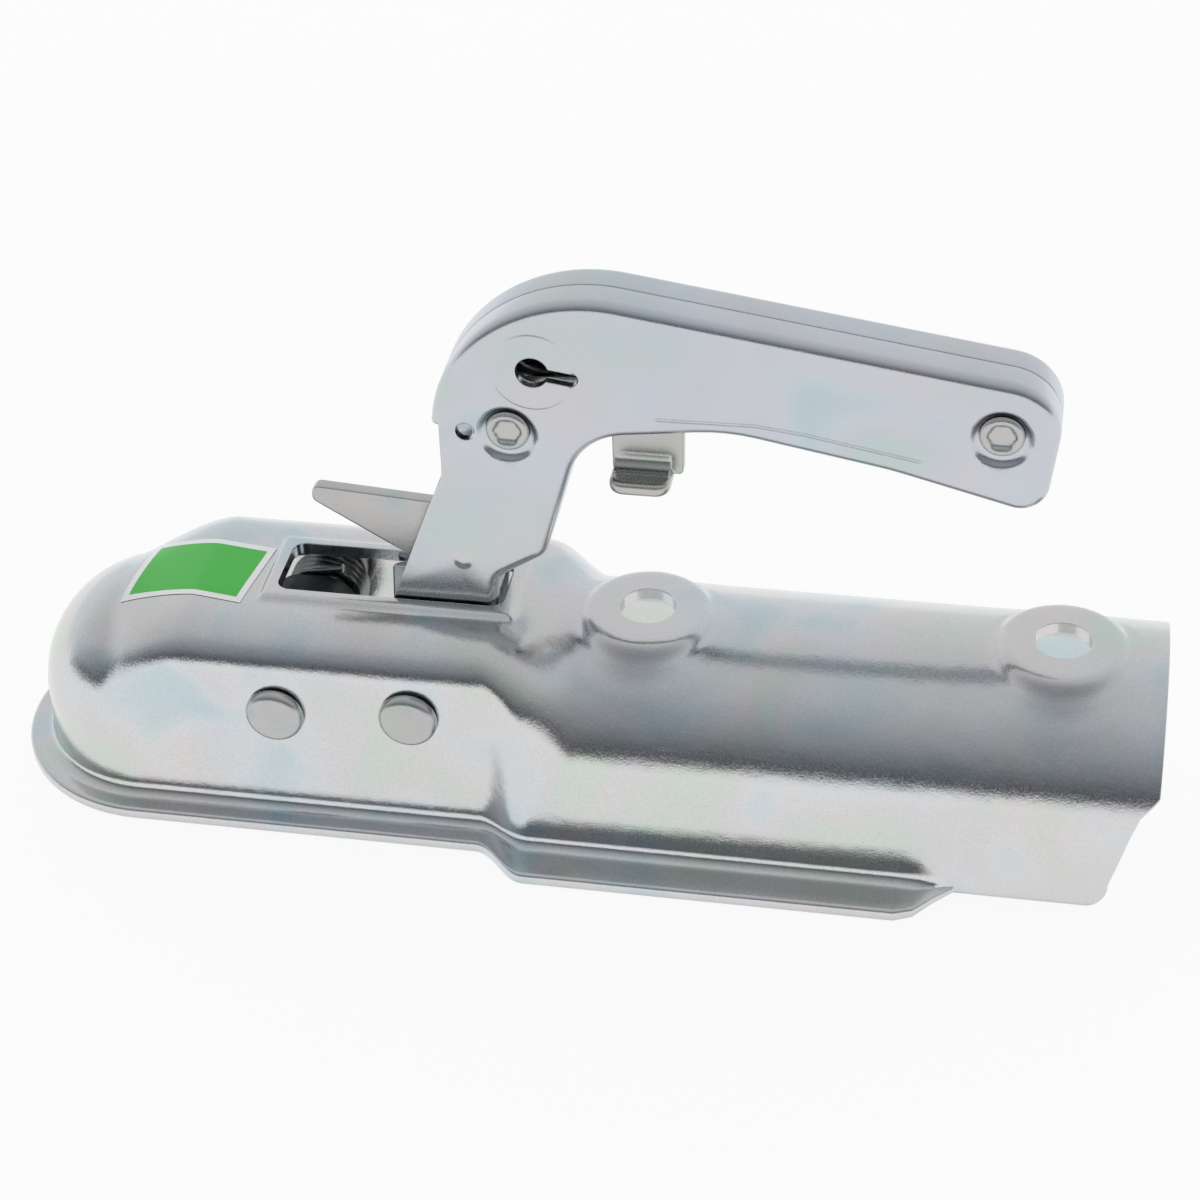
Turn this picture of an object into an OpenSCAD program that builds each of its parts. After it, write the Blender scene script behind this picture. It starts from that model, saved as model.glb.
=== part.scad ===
// Trailer coupling head: pressed housing with a sprung grip handle, a ball clamping jaw and a safety trigger.
// X runs along the drawbar towards its tail, Z is up, and the bottom flange lies on Z = 0.

/* [Ball and sheet] */
// Diameter of the tow ball
ball_d = 50; // [48:0.1:52]
// Gap between the ball and its socket
ball_gap = 0.14; // [0.1:0.02:0.4]
// Height of the ball centre over the bottom flange
ball_h = 15.6; // [14:0.2:18]
// Thickness of the housing sheet
sheet = 3; // [2.5:0.1:3.4]

/* [Housing] */
// Height of the roof over the handle pin
roof_over = 16.4; // [15:0.2:20]
// Height at which the front side walls start to lean in
lean_h = 20; // [16:0.5:24]
// Squareness of the front section, 2 is round
squareness = 6; // [4:0.5:8]
// Length from the ball centre to the full front section
ramp_len = 19; // [14:0.5:24]
// Width of the flange around the nose
nose_flange = 6.2; // [4:0.2:8]
// Width of the flange along the tube seat
seat_flange = 9.8; // [7:0.2:12]
// Radius of the fold between wall and flange
fold_r = 3; // [2:0.25:4]
// Radius on the free edge of the flange
edge_r = 1; // [0.5:0.1:1.4]

/* [Tube seat] */
// Diameter of the drawbar tube
tube_d = 60; // [56:0.5:62]
// Play between the tube and its seat
tube_play = 0.5; // [0.2:0.1:1]
// Height of the tube axis over the bottom flange
axis_h = 12; // [10:0.5:14]
// Distance from the ball centre to the front bolt
bolt_x = 112.7; // [108:0.5:120]
// Distance between the two bolts
bolt_pitch = 90; // [80:1:95]
// Diameter of a bolt hole
bolt_d = 12.5; // [10:0.1:14]
// Distance from the rear bolt to the tail end
tail_len = 22.5; // [20:0.5:30]
// Diameter of the flat on a bolt pad
pad_d = 26; // [22:0.5:30]
// Height of a bolt pad over the tube axis
pad_h = 34.4; // [33.8:0.1:36]
// Radius of the flare around a bolt pad
pad_flare = 6; // [3:0.25:7]

/* [Roof opening] */
// Length of the roof opening
slot_len = 51; // [48:0.5:54]
// Width of the roof opening
slot_w = 17.4; // [17.2:0.1:19]
// Distance from the ball centre to the front end of the opening
slot_x = 30.8; // [28:0.2:32]
// Height of the collar around the opening
collar_h = 1.1; // [0.6:0.1:1.5]
// Width of the collar
collar_w = 3.8; // [3:0.1:5]

/* [Pins] */
// Distance from the ball centre to the jaw pin
jaw_pin_x = 34.3; // [33.5:0.1:36]
// How far the jaw pin lies below the handle pin
jaw_pin_drop = 2; // [0:0.2:4]
// Distance from the ball centre to the handle pin
pivot_x = 64.4; // [63:0.2:66]
// Height of the handle pin
pivot_h = 32; // [31:0.2:33]
// Diameter of the pins
pin_d = 10; // [8:0.2:10.4]
// Diameter of the rivet heads
head_d = 13; // [12:0.2:15]
// Thickness of the rivet heads
head_t = 2.6; // [2:0.1:3.5]
// Wall of the distance sleeves
sleeve_wall = 2; // [1.5:0.1:2.5]
// Running gap on a pin, on the radius
run_gap = 0.08; // [0.05:0.01:0.1]
// Side gap between moving pieces
side_gap = 0.3; // [0.2:0.05:0.5]

/* [Handle] */
// Width over both handle halves
grip_w = 16; // [15:0.2:16.4]
// Thickness of the handle sheet
grip_t = 2; // [1.6:0.1:2.4]
// Radius along the handle's outer edges
grip_r = 4.5; // [3:0.25:5]
// Slope of the grip's top line
grip_slope = 9.5; // [7:0.5:12]
// Radius of the bend over the trigger pin
bend_r = 36.5; // [34:0.5:38]
// Distance of the bend's centre behind the handle pin
bend_x = 38.3; // [36:0.1:41]
// Height of the bend's centre over the handle pin
bend_h = 58.5; // [55:0.5:62]
// Reach of the foot around the handle pin
foot_r = 12; // [11:0.2:14]
// Depth of the grip at its tail end
tail_depth = 25; // [20:0.5:28]
// Length of the grip behind the bend
grip_len = 97; // [90:1:104]
// Diameter of the handle rivets
rivet_d = 6; // [5:0.2:6.6]
// Diameter of the handle rivet heads
rivet_head_d = 9; // [8:0.2:10]
// Depth of the dimple around a handle rivet
dimple = 1.6; // [1:0.1:1.8]
// Diameter of the round end of the hanging keyhole
keyhole_d = 7; // [5:0.2:9]
// Width of the keyhole's slot
keyhole_slot = 3; // [2:0.1:4]
// Length of the keyhole's slot from the centre of its round end
keyhole_len = 8.2; // [6:0.2:10]
// Diameter of the vent hole
vent_d = 4.2; // [3:0.1:5]

/* [Trigger] */
// Thickness of the trigger plate
trigger_t = 3; // [2.5:0.1:3.6]
// Width of the finger pad
pad_w = 18; // [14:0.5:20]
// Length of the finger pad
pad_len = 13; // [10:0.5:14]

/* [Jaw] */
// Width of the jaw
jaw_w = 24; // [20:0.5:28]
// Angle below the ball's middle that the jaw reaches
jaw_wrap = 27; // [20:1:28]
// Radius of the jaw around its pin
jaw_boss_r = 8.4; // [8:0.2:9]
// Reach of the cam around the handle pin
cam_r = 11.5; // [10.5:0.1:12]

/* [Springs] */
// Wire diameter of the jaw and handle springs
wire_d = 1.8; // [1.2:0.1:2]
// Wire diameter of the trigger spring
fine_wire_d = 0.9; // [0.6:0.1:1]
// Turns of a spring
turns = 4; // [3:1:5]

/* [Hidden] */

roof_h = pivot_h + roof_over;
jaw_pin_h = pivot_h - jaw_pin_drop;
ball_r = ball_d / 2;
socket_r = ball_r + ball_gap;
dome_r = socket_r + sheet;
seat_r = (tube_d + tube_play) / 2;
tube_r = seat_r + sheet;
seat_stock = 0.4;
bore_x = bolt_x - pad_d / 2 - pad_flare - 1;
tail_x = bolt_x + bolt_pitch + tail_len;
rim_r = dome_r + nose_flange;
mid_x = (tail_x - rim_r) / 2;
step_x = bolt_x - 36;
seat_x = bolt_x - 14;
flange_end = tail_x - 50.8;
flange_slant = seat_flange - 1;
slot_end = slot_x + slot_len;
grip_y = grip_w / 2;
cheek_y = grip_y - grip_t;
bush_r = pin_d / 2 + run_gap + sleeve_wall;
seat_gap = 0.02;
rivet_r = rivet_d / 2;
bend_c = [pivot_x + bend_x, pivot_h + bend_h];
grip_top = bend_c + bend_r * [sin(grip_slope), cos(grip_slope)];
grip_end = grip_top + grip_len * [cos(grip_slope), -sin(grip_slope)];
bend_arc = arc(bend_c, bend_r, 172, 90 - grip_slope, 9);
trigger_c = [bend_c[0] - 0.48 * bend_r, bend_c[1] + 0.11 * bend_r];
tail_c = [grip_end[0] - 0.69 * tail_depth, grip_end[1] - 0.34 * tail_depth];
cam_rivet_c = [pivot_x + foot_r / 2, pivot_h + foot_r + 2];
keyhole_c = [bend_c[0] - 0.31 * bend_r, bend_c[1] + 0.54 * bend_r];
vent_c = [trigger_c[0] - 8.9, trigger_c[1] - 0.3];
pad_z = trigger_c[1] - 11.5;
pad_x = trigger_c[0] + 20.6;
trigger_sleeve_r = rivet_r + seat_gap + sleeve_wall;
pin_r = pin_d / 2;
sleeve_r = pin_r + run_gap + sleeve_wall;
jaw_face_r = socket_r + side_gap;
jaw_tip = [jaw_face_r * cos(jaw_wrap), ball_h - jaw_face_r * sin(jaw_wrap)];
jaw_back = [jaw_pin_x + jaw_boss_r - 2.2, ball_h + 2];
crown_angles = [90, 88.5, 87, 84.5, 79, 70, 60, 50, 40, 30, 20, 10, 4, 0];
fold_steps = 3;
nose_steps = 14;

function mix(a, b, k) = a + (b - a) * k;
function ease(k) = let (c = min(1, max(0, k))) c * c * (3 - 2 * c);
function rise(x, x0, x1) = ease((x - x0) / (x1 - x0));
function flip(points) = [for (i = [len(points) - 1:-1:0]) points[i]];
function mirrored(points) = [for (p = points) [-p[0], p[1]]];
function arc(c, r, a0, a1, steps) = [for (i = [0:steps]) c + r * [cos(mix(a0, a1, i / steps)), sin(mix(a0, a1, i / steps))]];

// How far along the change from nose to box front (0 to 1), and from box front to tube seat, a place is
function front_at(x) = rise(x, 0, ramp_len);
function seat_at(x) = rise(x, step_x, seat_x - 6);
function crown_at(x) = rise(x, step_x + 4, seat_x + 2);
function free_at(x) = min(1, max(0, (x - flange_end) / flange_slant));

// Half width, lean height, crown height, squareness and flange width of the section at x
function wall_y(x) = mix(dome_r, tube_r, seat_at(x));
function wall_z(x) = mix(mix(ball_h, lean_h, front_at(x)), axis_h, crown_at(x));
function crown_z(x) = mix(mix(ball_h + dome_r, roof_h, front_at(x)), axis_h + tube_r, crown_at(x));
function square_at(x) = mix(mix(2, squareness, front_at(x)), 2, crown_at(x));
function flange_at(x) = mix(nose_flange, seat_flange, seat_at(x));
function stock_at(x) = sheet + seat_stock * max(1 - front_at(x), crown_at(x));

// The pressed collar lifts the roof around the opening
function collar_x(x) = rise(x, slot_x - collar_w, slot_x - collar_w + 2) * (1 - rise(x, slot_end + collar_w - 2, slot_end + collar_w));
function collar_y(y) = 1 - rise(abs(y), slot_w / 2 + collar_w - 2, slot_w / 2 + collar_w);
function lifted(p, x) = [p[0], p[1] + collar_h * collar_x(x) * collar_y(p[0])];

// Crown from the middle of the roof down to the straight wall, t is the depth below the outer face
function crown(x, t) = [for (a = crown_angles) lifted([
    (wall_y(x) - t) * pow(cos(a), 2 / square_at(x)),
    wall_z(x) + (crown_z(x) - t - wall_z(x)) * pow(sin(a), 2 / square_at(x))], x)];

// Fold, flange and free edge, outer face first, for a flange of width f and for a plain edge
function flanged_edge(w, f, t) = concat(
    arc([w + fold_r, sheet + fold_r], fold_r, 180, 270, fold_steps),
    arc([w + f - edge_r, sheet - edge_r], edge_r, 90, 0, 2),
    arc([w + f - edge_r, edge_r], edge_r, 0, -90, 2),
    arc([w + fold_r, sheet + fold_r], fold_r + sheet, 270, 180, fold_steps + 1));
function plain_edge(w, t) = concat(
    [for (i = [0:fold_steps]) [w, mix(sheet + fold_r, 3 * edge_r, i / fold_steps)]],
    [for (i = [0:2]) [w, mix(2.4, 1.6, i / 2) * edge_r]],
    [for (i = [0:2]) [mix(w, w - t, (i + 0.5) / 3), edge_r]],
    [for (i = [0:fold_steps + 1]) [w - t, mix(2.4 * edge_r, sheet + fold_r, i / (fold_steps + 1))]]);
function edge_points(x) =
    let (a = flanged_edge(wall_y(x), flange_at(x), stock_at(x)), b = plain_edge(wall_y(x), stock_at(x)), k = free_at(x))
    [for (i = [0:len(a) - 1]) mix(a[i], b[i], k)];
function half_section(x) = concat(crown(x, 0), edge_points(x), flip(crown(x, stock_at(x))));

function ring(x) =
    let (h = half_section(x), m = flip(mirrored(h)))
    concat(h, [for (i = [1:len(m) - 2]) m[i]]);

stations = concat(
    [for (i = [0:6]) ramp_len * i / 6],
    [for (i = [0:4]) slot_x - collar_w + 2 * i / 4],
    [for (i = [0:9]) mix(step_x, seat_x + 2, i / 9)],
    [flange_end, flange_end + flange_slant, tail_x + 2]);

// Skin over the rings of the body, closed at the front by the half section turned about the ball's axis
module body_skin(xs, nose_steps) {
    half = half_section(0);
    h = len(half);
    rings = [for (x = xs) ring(x)];
    n = len(rings[0]);

    m = len(xs);
    body = [for (i = [0:m - 1]) for (p = rings[i]) [xs[i], p[0], p[1]]];
    nose = [for (i = [1:nose_steps - 1]) for (p = half) let (a = 180 * i / nose_steps) [-p[0] * sin(a), p[0] * cos(a), p[1]]];
    // Point j of the half section at nose step i: the first and last steps lie on the first ring, and the poles are shared
    function spot(i, j) = i == 0 ? j
        : j == 0 ? 0
        : j == h - 1 ? h - 1
        : i == nose_steps ? n - j
        : m * n + (i - 1) * h + j;
    sides = [for (i = [0:m - 2]) for (j = [0:n - 1]) each [
        [i * n + j, i * n + (j + 1) % n, (i + 1) * n + j],
        [i * n + (j + 1) % n, (i + 1) * n + (j + 1) % n, (i + 1) * n + j]]];
    front = [for (i = [0:nose_steps - 1]) for (j = [0:h - 2]) each [
        if (j > 0) [spot(i, j), spot(i + 1, j), spot(i, j + 1)],
        if (j < h - 2) [spot(i, j + 1), spot(i + 1, j), spot(i + 1, j + 1)]]];
    polyhedron(concat(body, nose), concat(sides, front, [[for (j = [0:n - 1]) (m - 1) * n + j]]));
}

module along_y(x, z, r, y0, y1, fn = 48) {
    translate([x, y0, z]) rotate([-90, 0, 0]) cylinder(r = r, h = y1 - y0, $fn = fn);
}

module tube_y(x, z, r_out, r_in, y0, y1) {
    difference() {
        along_y(x, z, r_out, y0, y1);
        along_y(x, z, r_in, y0 - 1, y1 + 1);
    }
}

// Plate lying in the XZ plane between two y places
module plate(y0, y1) {
    translate([0, y1, 0]) rotate([90, 0, 0]) linear_extrude(y1 - y0) children();
}

module housing_shell() {
    body_skin(stations, nose_steps);
}

module bolt_pad(x) {
    translate([x, 0, axis_h]) rotate_extrude($fn = 64) difference() {
        translate([0, seat_r - 8]) square([pad_d / 2 + pad_flare, pad_h - seat_r + 8]);
        translate([pad_d / 2 + pad_flare, pad_h]) circle(r = pad_flare, $fn = 48);
    }
}

module slot_shape() {
    r = 3;
    translate([slot_x + r, -slot_w / 2]) square([slot_len - 2 * r, slot_w]);
    translate([slot_x, -slot_w / 2 + r]) square([slot_len, slot_w - 2 * r]);
    for (x = [slot_x + r, slot_end - r], y = [-slot_w / 2 + r, slot_w / 2 - r])
        translate([x, y]) circle(r = r, $fn = 32);
}

// The ball's way in from below and the round end of its socket
module socket_cut() {
    rotate_extrude($fn = 96) union() {
        translate([0, -1]) square([socket_r, ball_h + 1]);
        intersection() {
            translate([0, ball_h]) circle(r = socket_r, $fn = 96);
            translate([0, ball_h - 1]) square([socket_r + 1, socket_r + 2]);
        }
    }
}

// Everything behind the tail's end line goes
module tail_notch() {
    plate(-tube_r - 20, tube_r + 20) polygon([
        [tail_x + 4, axis_h + pad_h + 5],
        [tail_x, axis_h + pad_h + 5],
        [tail_x, axis_h + 16.7],
        [tail_x - 3.7, axis_h + 12.7],
        [tail_x - 7, axis_h + 3.2],
        [tail_x - 9.5, axis_h - 5.7],
        [tail_x - 11, axis_h - 8.6],
        [tail_x - 15.4, axis_h - 11.4],
        [tail_x - 15.4, -1],
        [tail_x + 4, -1]]);
}

module housing() {
    color("gainsboro") difference() {
        union() {
            housing_shell();
            for (x = [bolt_x, bolt_x + bolt_pitch]) bolt_pad(x);
        }
        socket_cut();
        translate([bore_x, 0, axis_h]) rotate([0, 90, 0]) cylinder(r = seat_r, h = tail_x - bore_x + 6, $fn = 96);
        for (x = [bolt_x, bolt_x + bolt_pitch]) {
            translate([x, 0, axis_h]) cylinder(r = bolt_d / 2, h = pad_h + 5, $fn = 64);
            translate([x, 0, axis_h]) cylinder(r = pad_d / 2 - sheet, h = pad_h - sheet, $fn = 64);
        }
        translate([0, 0, ball_h + 10]) linear_extrude(roof_h) slot_shape();
        along_y(jaw_pin_x, jaw_pin_h, pin_r, -dome_r - 5, dome_r + 5);
        along_y(pivot_x, pivot_h, pin_r, -dome_r - 5, dome_r + 5);
        tail_notch();
    }
}

// Corners given as [x, z, radius] turned into a closed outline with true arcs
function unit(v) = v / norm(v);
function corner_arc(a, b, c, r) =
    let (u = unit(a - b), v = unit(c - b), half = acos(u * v) / 2, t = r / tan(half),
        m = b + unit(u + v) * r / sin(half), s = cross(u, v) > 0 ? 1 : -1,
        p = b + u * t - m, sweep = (180 - 2 * half) * s, steps = max(1, ceil(abs(sweep) / 15)))
    [for (i = [0:steps]) let (w = -sweep * i / steps)
        m + [p[0] * cos(w) - p[1] * sin(w), p[0] * sin(w) + p[1] * cos(w)]];
function rounded(corners) =
    let (n = len(corners))
    [for (i = [0:n - 1]) let (
        a = corners[(i + n - 1) % n], b = corners[i], c = corners[(i + 1) % n])
        each corner_arc([a[0], a[1]], [b[0], b[1]], [c[0], c[1]], b[2])];

// A closed outline moved inwards by d, for outlines that run clockwise
function inset(points, d) =
    let (n = len(points))
    [for (i = [0:n - 1]) let (
        e = unit(points[i] - points[(i + n - 1) % n]), f = unit(points[(i + 1) % n] - points[i]),
        g = unit(e + f))
        points[i] + [g[1], -g[0]] * d / (g * f)];

// The same for an open run of corners, without its two ends
function rounded_run(c) = [for (i = [1:len(c) - 2])
    each corner_arc([c[i - 1][0], c[i - 1][1]], [c[i][0], c[i][1]], [c[i + 1][0], c[i + 1][1]], c[i][2])];

// Side outline of the handle, clockwise from the front of the bend: grip, tail, underside, neck and foot
handle_side = concat(bend_arc, rounded_run([
    bend_arc[len(bend_arc) - 1],
    [grip_end[0], grip_end[1], 0.56 * tail_depth],
    [grip_end[0] - 0.1 * tail_depth, grip_end[1] - tail_depth, 0.24 * tail_depth],
    [bend_c[0] + 0.72 * grip_len, bend_c[1] + 0.03 * bend_r, 60],
    [bend_c[0] + 0.25 * grip_len, bend_c[1] + 0.22 * bend_r, 40],
    [bend_c[0] - 0.08 * bend_r, bend_c[1] + 0.22 * bend_r, 14],
    [pivot_x + foot_r + 15, pivot_h + 0.55 * bend_h, 6],
    [pivot_x + foot_r + 5.6, pivot_h + 0.41 * bend_h, 6],
    [pivot_x + foot_r + 4, pivot_h + foot_r, 14],
    [pivot_x + foot_r, pivot_h - foot_r, foot_r - 0.4],
    [pivot_x - foot_r, pivot_h - foot_r, foot_r - 0.4],
    [pivot_x - foot_r + 1, pivot_h + 0.325 * bend_h, 14],
    [pivot_x + 1, pivot_h + 0.82 * bend_h, 30],
    bend_arc[0]]));

// Skin over copies of the handle's outline, each [y, inset], with stock at both ends that a slab cuts off exactly
module outline_skin(layers) {
    n = len(handle_side);
    m = len(layers);
    points = [for (l = layers) for (p = inset(handle_side, l[1])) [p[0], l[0], p[1]]];
    sides = [for (i = [0:m - 2]) for (j = [0:n - 1]) each [
        [i * n + j, (i + 1) * n + j, i * n + (j + 1) % n],
        [i * n + (j + 1) % n, (i + 1) * n + j, (i + 1) * n + (j + 1) % n]]];
    polyhedron(points, concat(sides, [[for (j = [0:n - 1]) j]], [[for (j = [n - 1:-1:0]) (m - 1) * n + j]]));
}

// Layers of a skin with straight sides at depth d and an edge of radius r up to the height y
function rounded_layers(y, d, r, steps) = concat([[-2, d]],
    [for (i = [0:steps]) let (a = 90 * i / steps) [y - r + r * sin(a), d + r * (1 - cos(a))]],
    [[y + 1, d + r]]);

module slab(y0, y1) {
    translate([pivot_x - 60, y0, pivot_h - 60]) cube([280, y1 - y0, 200]);
}

// One pressed half of the handle on the side y > 0
module handle_shell() {
    steps = 4;
    difference() {
        intersection() {
            outline_skin(rounded_layers(grip_y, 0, grip_r, steps));
            slab(seat_gap, grip_y);
        }
        intersection() {
            union() {
                outline_skin(rounded_layers(cheek_y, grip_t, grip_r - grip_t, steps));
                translate([pivot_x - 20, -2, pivot_h - 20]) cube([50, cheek_y + 3, 40.5]);
            }
            slab(-1, cheek_y);
        }
    }
}

// What is cut from the front edge, so that the trigger's nose comes out between two flat cheeks
module front_edge_shape() {
    polygon(concat([
        [pivot_x - 30, bend_c[1] + 5],
        [pivot_x + 5.8, bend_c[1] + 5]],
        rounded_run([
            [pivot_x + 5.8, bend_c[1] + 5],
            [pivot_x + 5.8, bend_c[1] - 8, 14],
            [pivot_x + 1.5, bend_c[1] - 17, 20],
            [pivot_x - 7.4, pivot_h + 18.5]]),
        [[pivot_x - 8.6, pivot_h + 15], [pivot_x - 30, pivot_h + 15]]));
}

module handle_half() {
    difference() {
        union() {
            handle_shell();
            for (c = [trigger_c, tail_c])
                along_y(c[0], c[1], rivet_head_d / 2 + 2.4, cheek_y - dimple, cheek_y + 0.2);
        }
        plate(-1, grip_y + 1) front_edge_shape();
        translate([pad_x - 6.5, -1, pad_z + 5]) cube([pad_len + 12.5, trigger_t / 2 + 1.6, 14.5]);
        along_y(pivot_x, pivot_h, bush_r + seat_gap, -1, grip_y + 1);
        along_y(cam_rivet_c[0], cam_rivet_c[1], rivet_r + seat_gap, -1, grip_y + 1, 32);
        for (c = [trigger_c, tail_c]) translate([c[0], 0, c[1]]) rotate([-90, 0, 0]) dimple_cut();
        along_y(vent_c[0], vent_c[1], vent_d / 2, -1, grip_y + 1, 32);
        keyhole();
    }
}

// Rivet hole that opens into a tapered dimple
module dimple_cut() {
    rotate_extrude($fn = 48) polygon([
        [0, 1],
        [rivet_r + seat_gap, 1],
        [rivet_r + seat_gap, grip_y - dimple],
        [rivet_head_d / 2 + 0.6, grip_y - dimple],
        [rivet_head_d / 2 + 2.2, grip_y],
        [rivet_head_d / 2 + 2.2, grip_y + 2],
        [0, grip_y + 2]]);
}

module keyhole() {
    along_y(keyhole_c[0], keyhole_c[1], keyhole_d / 2, -1, grip_y + 1, 32);
    plate(-1, grip_y + 1) translate(keyhole_c) rotate(-grip_slope) {
        translate([0, -keyhole_slot / 2]) square([keyhole_len, keyhole_slot]);
        translate([keyhole_len, 0]) circle(r = keyhole_slot / 2, $fn = 24);
    }
}

module handle_left() {
    color("silver") mirror([0, 1, 0]) handle_half();
}

module handle_right() {
    color("silver") handle_half();
}

// Rivet along Y with a flat round head of radius r_head over each end of its grip
module cross_rivet(c, r, r_head, t_head, reach) {
    translate([c[0], -reach - t_head, c[1]]) rotate([-90, 0, 0]) rotate_extrude($fn = 48) difference() {
        union() {
            square([r, 2 * (reach + t_head)]);
            square([r_head, t_head]);
            translate([0, 2 * reach + t_head]) square([r_head, t_head]);
        }
        for (y = [0, 2 * (reach + t_head)]) translate([r_head, y]) rotate(45)
            square(0.9, center = true);
    }
}

module jaw_pin() {
    color("gainsboro") cross_rivet([jaw_pin_x, jaw_pin_h], pin_r - seat_gap, head_d / 2, head_t, dome_r);
}

module handle_pin() {
    color("gainsboro") cross_rivet([pivot_x, pivot_h], pin_r - seat_gap, head_d / 2, head_t, dome_r);
}

// Half width inside the box front at height z, from its section's formula
function inner_wall_at(z) = (dome_r - sheet)
    * pow(1 - pow(max(0, z - lean_h) / (roof_h - sheet - lean_h), squareness), 1 / squareness);

module pin_sleeve(c, y0) {
    tube_y(c[0], c[1], sleeve_r, pin_r + seat_gap, y0, inner_wall_at(c[1] + sleeve_r) - side_gap);
}

module jaw_sleeve_right() {
    color("silver") pin_sleeve([jaw_pin_x, jaw_pin_h], jaw_w / 2 + side_gap);
}

module jaw_sleeve_left() {
    color("silver") mirror([0, 1, 0]) pin_sleeve([jaw_pin_x, jaw_pin_h], jaw_w / 2 + side_gap);
}

module pivot_sleeve_right() {
    color("silver") pin_sleeve([pivot_x, pivot_h], grip_y + side_gap);
}

module pivot_sleeve_left() {
    color("silver") mirror([0, 1, 0]) pin_sleeve([pivot_x, pivot_h], grip_y + side_gap);
}

module pivot_bush() {
    color("goldenrod") tube_y(pivot_x, pivot_h, bush_r, pin_r + run_gap, -grip_y, grip_y);
}

module jaw() {
    color("dimgray") difference() {
        plate(-jaw_w / 2, jaw_w / 2) polygon(rounded([
            [jaw_tip[0] - 0.5, jaw_tip[1] - 0.8, 0.3],
            [jaw_pin_x - 2 * jaw_boss_r, jaw_pin_h + 1, 2],
            [jaw_pin_x - 0.7 * jaw_boss_r, jaw_pin_h + jaw_boss_r, 0.7 * jaw_boss_r],
            [jaw_pin_x + 1.15 * jaw_boss_r, jaw_pin_h + jaw_boss_r, 0.95 * jaw_boss_r],
            [jaw_back[0] + 3, jaw_back[1] + 6, 10],
            [jaw_back[0] - 3, jaw_back[1] - 8, 12],
            [jaw_tip[0] + 6, jaw_tip[1] - 0.8, 2.5]]));
        translate([0, 0, ball_h]) sphere(r = jaw_face_r, $fn = 96);
        along_y(jaw_pin_x, jaw_pin_h, pin_r + run_gap, -jaw_w / 2 - 1, jaw_w / 2 + 1);
    }
}

// Cast cam between the cheeks: its finger holds the jaw against the ball
module cam() {
    finger = [jaw_back[0] + 4.6 + side_gap, jaw_back[1] - 0.8];
    color("slategray") difference() {
        plate(-cheek_y + seat_gap, cheek_y - seat_gap) polygon(rounded([
            [pivot_x + cam_r, cam_rivet_c[1] + 5, 4],
            [pivot_x + cam_r - 0.5, pivot_h - cam_r + 0.5, cam_r - 1],
            [pivot_x - 5, pivot_h - cam_r, 8],
            [finger[0] - 2.6, finger[1] - 4.5, 3],
            [finger[0] - 3.4, finger[1] + 3.2, 3],
            [pivot_x - cam_r + 2.5, pivot_h + 5, 5],
            [pivot_x - 3.5, cam_rivet_c[1] + 5, 4]]));
        along_y(pivot_x, pivot_h, bush_r + seat_gap, -grip_y, grip_y);
        along_y(cam_rivet_c[0], cam_rivet_c[1], rivet_r + seat_gap, -grip_y, grip_y, 32);
    }
}

module cam_rivet() {
    color("silver") along_y(cam_rivet_c[0], cam_rivet_c[1], rivet_r, -grip_y, grip_y, 32);
}

module handle_rivet(c) {
    difference() {
        cross_rivet(c, rivet_r, rivet_head_d / 2, dimple - 0.2, grip_y - dimple);
        for (s = [-1, 1]) translate([c[0], s * (grip_y + 0.5), c[1]]) sphere(r = 1.4, $fn = 24);
    }
}

module trigger_rivet() {
    color("gainsboro") handle_rivet(trigger_c);
}

module tail_rivet() {
    color("gainsboro") handle_rivet(tail_c);
}

module trigger_sleeve() {
    color("silver") tube_y(trigger_c[0], trigger_c[1], trigger_sleeve_r, rivet_r + seat_gap, -cheek_y + dimple, cheek_y - dimple);
}

module tail_sleeve() {
    color("silver") tube_y(tail_c[0], tail_c[1], trigger_sleeve_r, rivet_r + seat_gap, -cheek_y + dimple, cheek_y - dimple);
}

module trigger() {
    c = trigger_c;
    color("silver") difference() {
        union() {
            plate(-trigger_t / 2, trigger_t / 2) polygon(rounded([
                [c[0] - 46.6, c[1] - 23.6, 1.6],
                [c[0] - 21, c[1] - 22.6, 3],
                [c[0] - 9.5, c[1] - 10, 8],
                [c[0] - 8, c[1] + 8, 7],
                [c[0] + 10, c[1] + 9, 5],
                [pad_x + pad_len + 2.5, c[1] + 11, 3],
                [pad_x + pad_len + 2, pad_z - 1.5, 1],
                [pad_x, pad_z - 1.5, 1],
                [pad_x, c[1] + 5.4, 3],
                [c[0] + 9, c[1] + 3.6, 4],
                [c[0] + 1.5, c[1] - 9, 7],
                [c[0] - 14, c[1] - 27, 6],
                [c[0] - 27, c[1] - 36.6, 1],
                [c[0] - 45, c[1] - 26.4, 1.6]]));
            translate([pad_x, 0, pad_z]) rotate([90, 0, 90]) linear_extrude(pad_len) finger_pad_shape();
        }
        along_y(c[0], c[1], trigger_sleeve_r + run_gap, -trigger_t, trigger_t);
    }
}

// Section of the finger pad: a flat tab that sweeps up into the trigger plate
module finger_pad_shape() {
    r = 3.2;
    translate([-pad_w / 2 + 1, -3]) square([pad_w - 2, 3]);
    for (s = [-1, 1]) translate([s * (pad_w / 2 - 1.5), -1.5]) circle(r = 1.5, $fn = 32);
    difference() {
        translate([-trigger_t / 2 - r, -0.5]) square([trigger_t + 2 * r, r + 0.5]);
        for (s = [-1, 1]) translate([s * (trigger_t / 2 + r), r]) circle(r = r, $fn = 48);
    }
}

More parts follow.
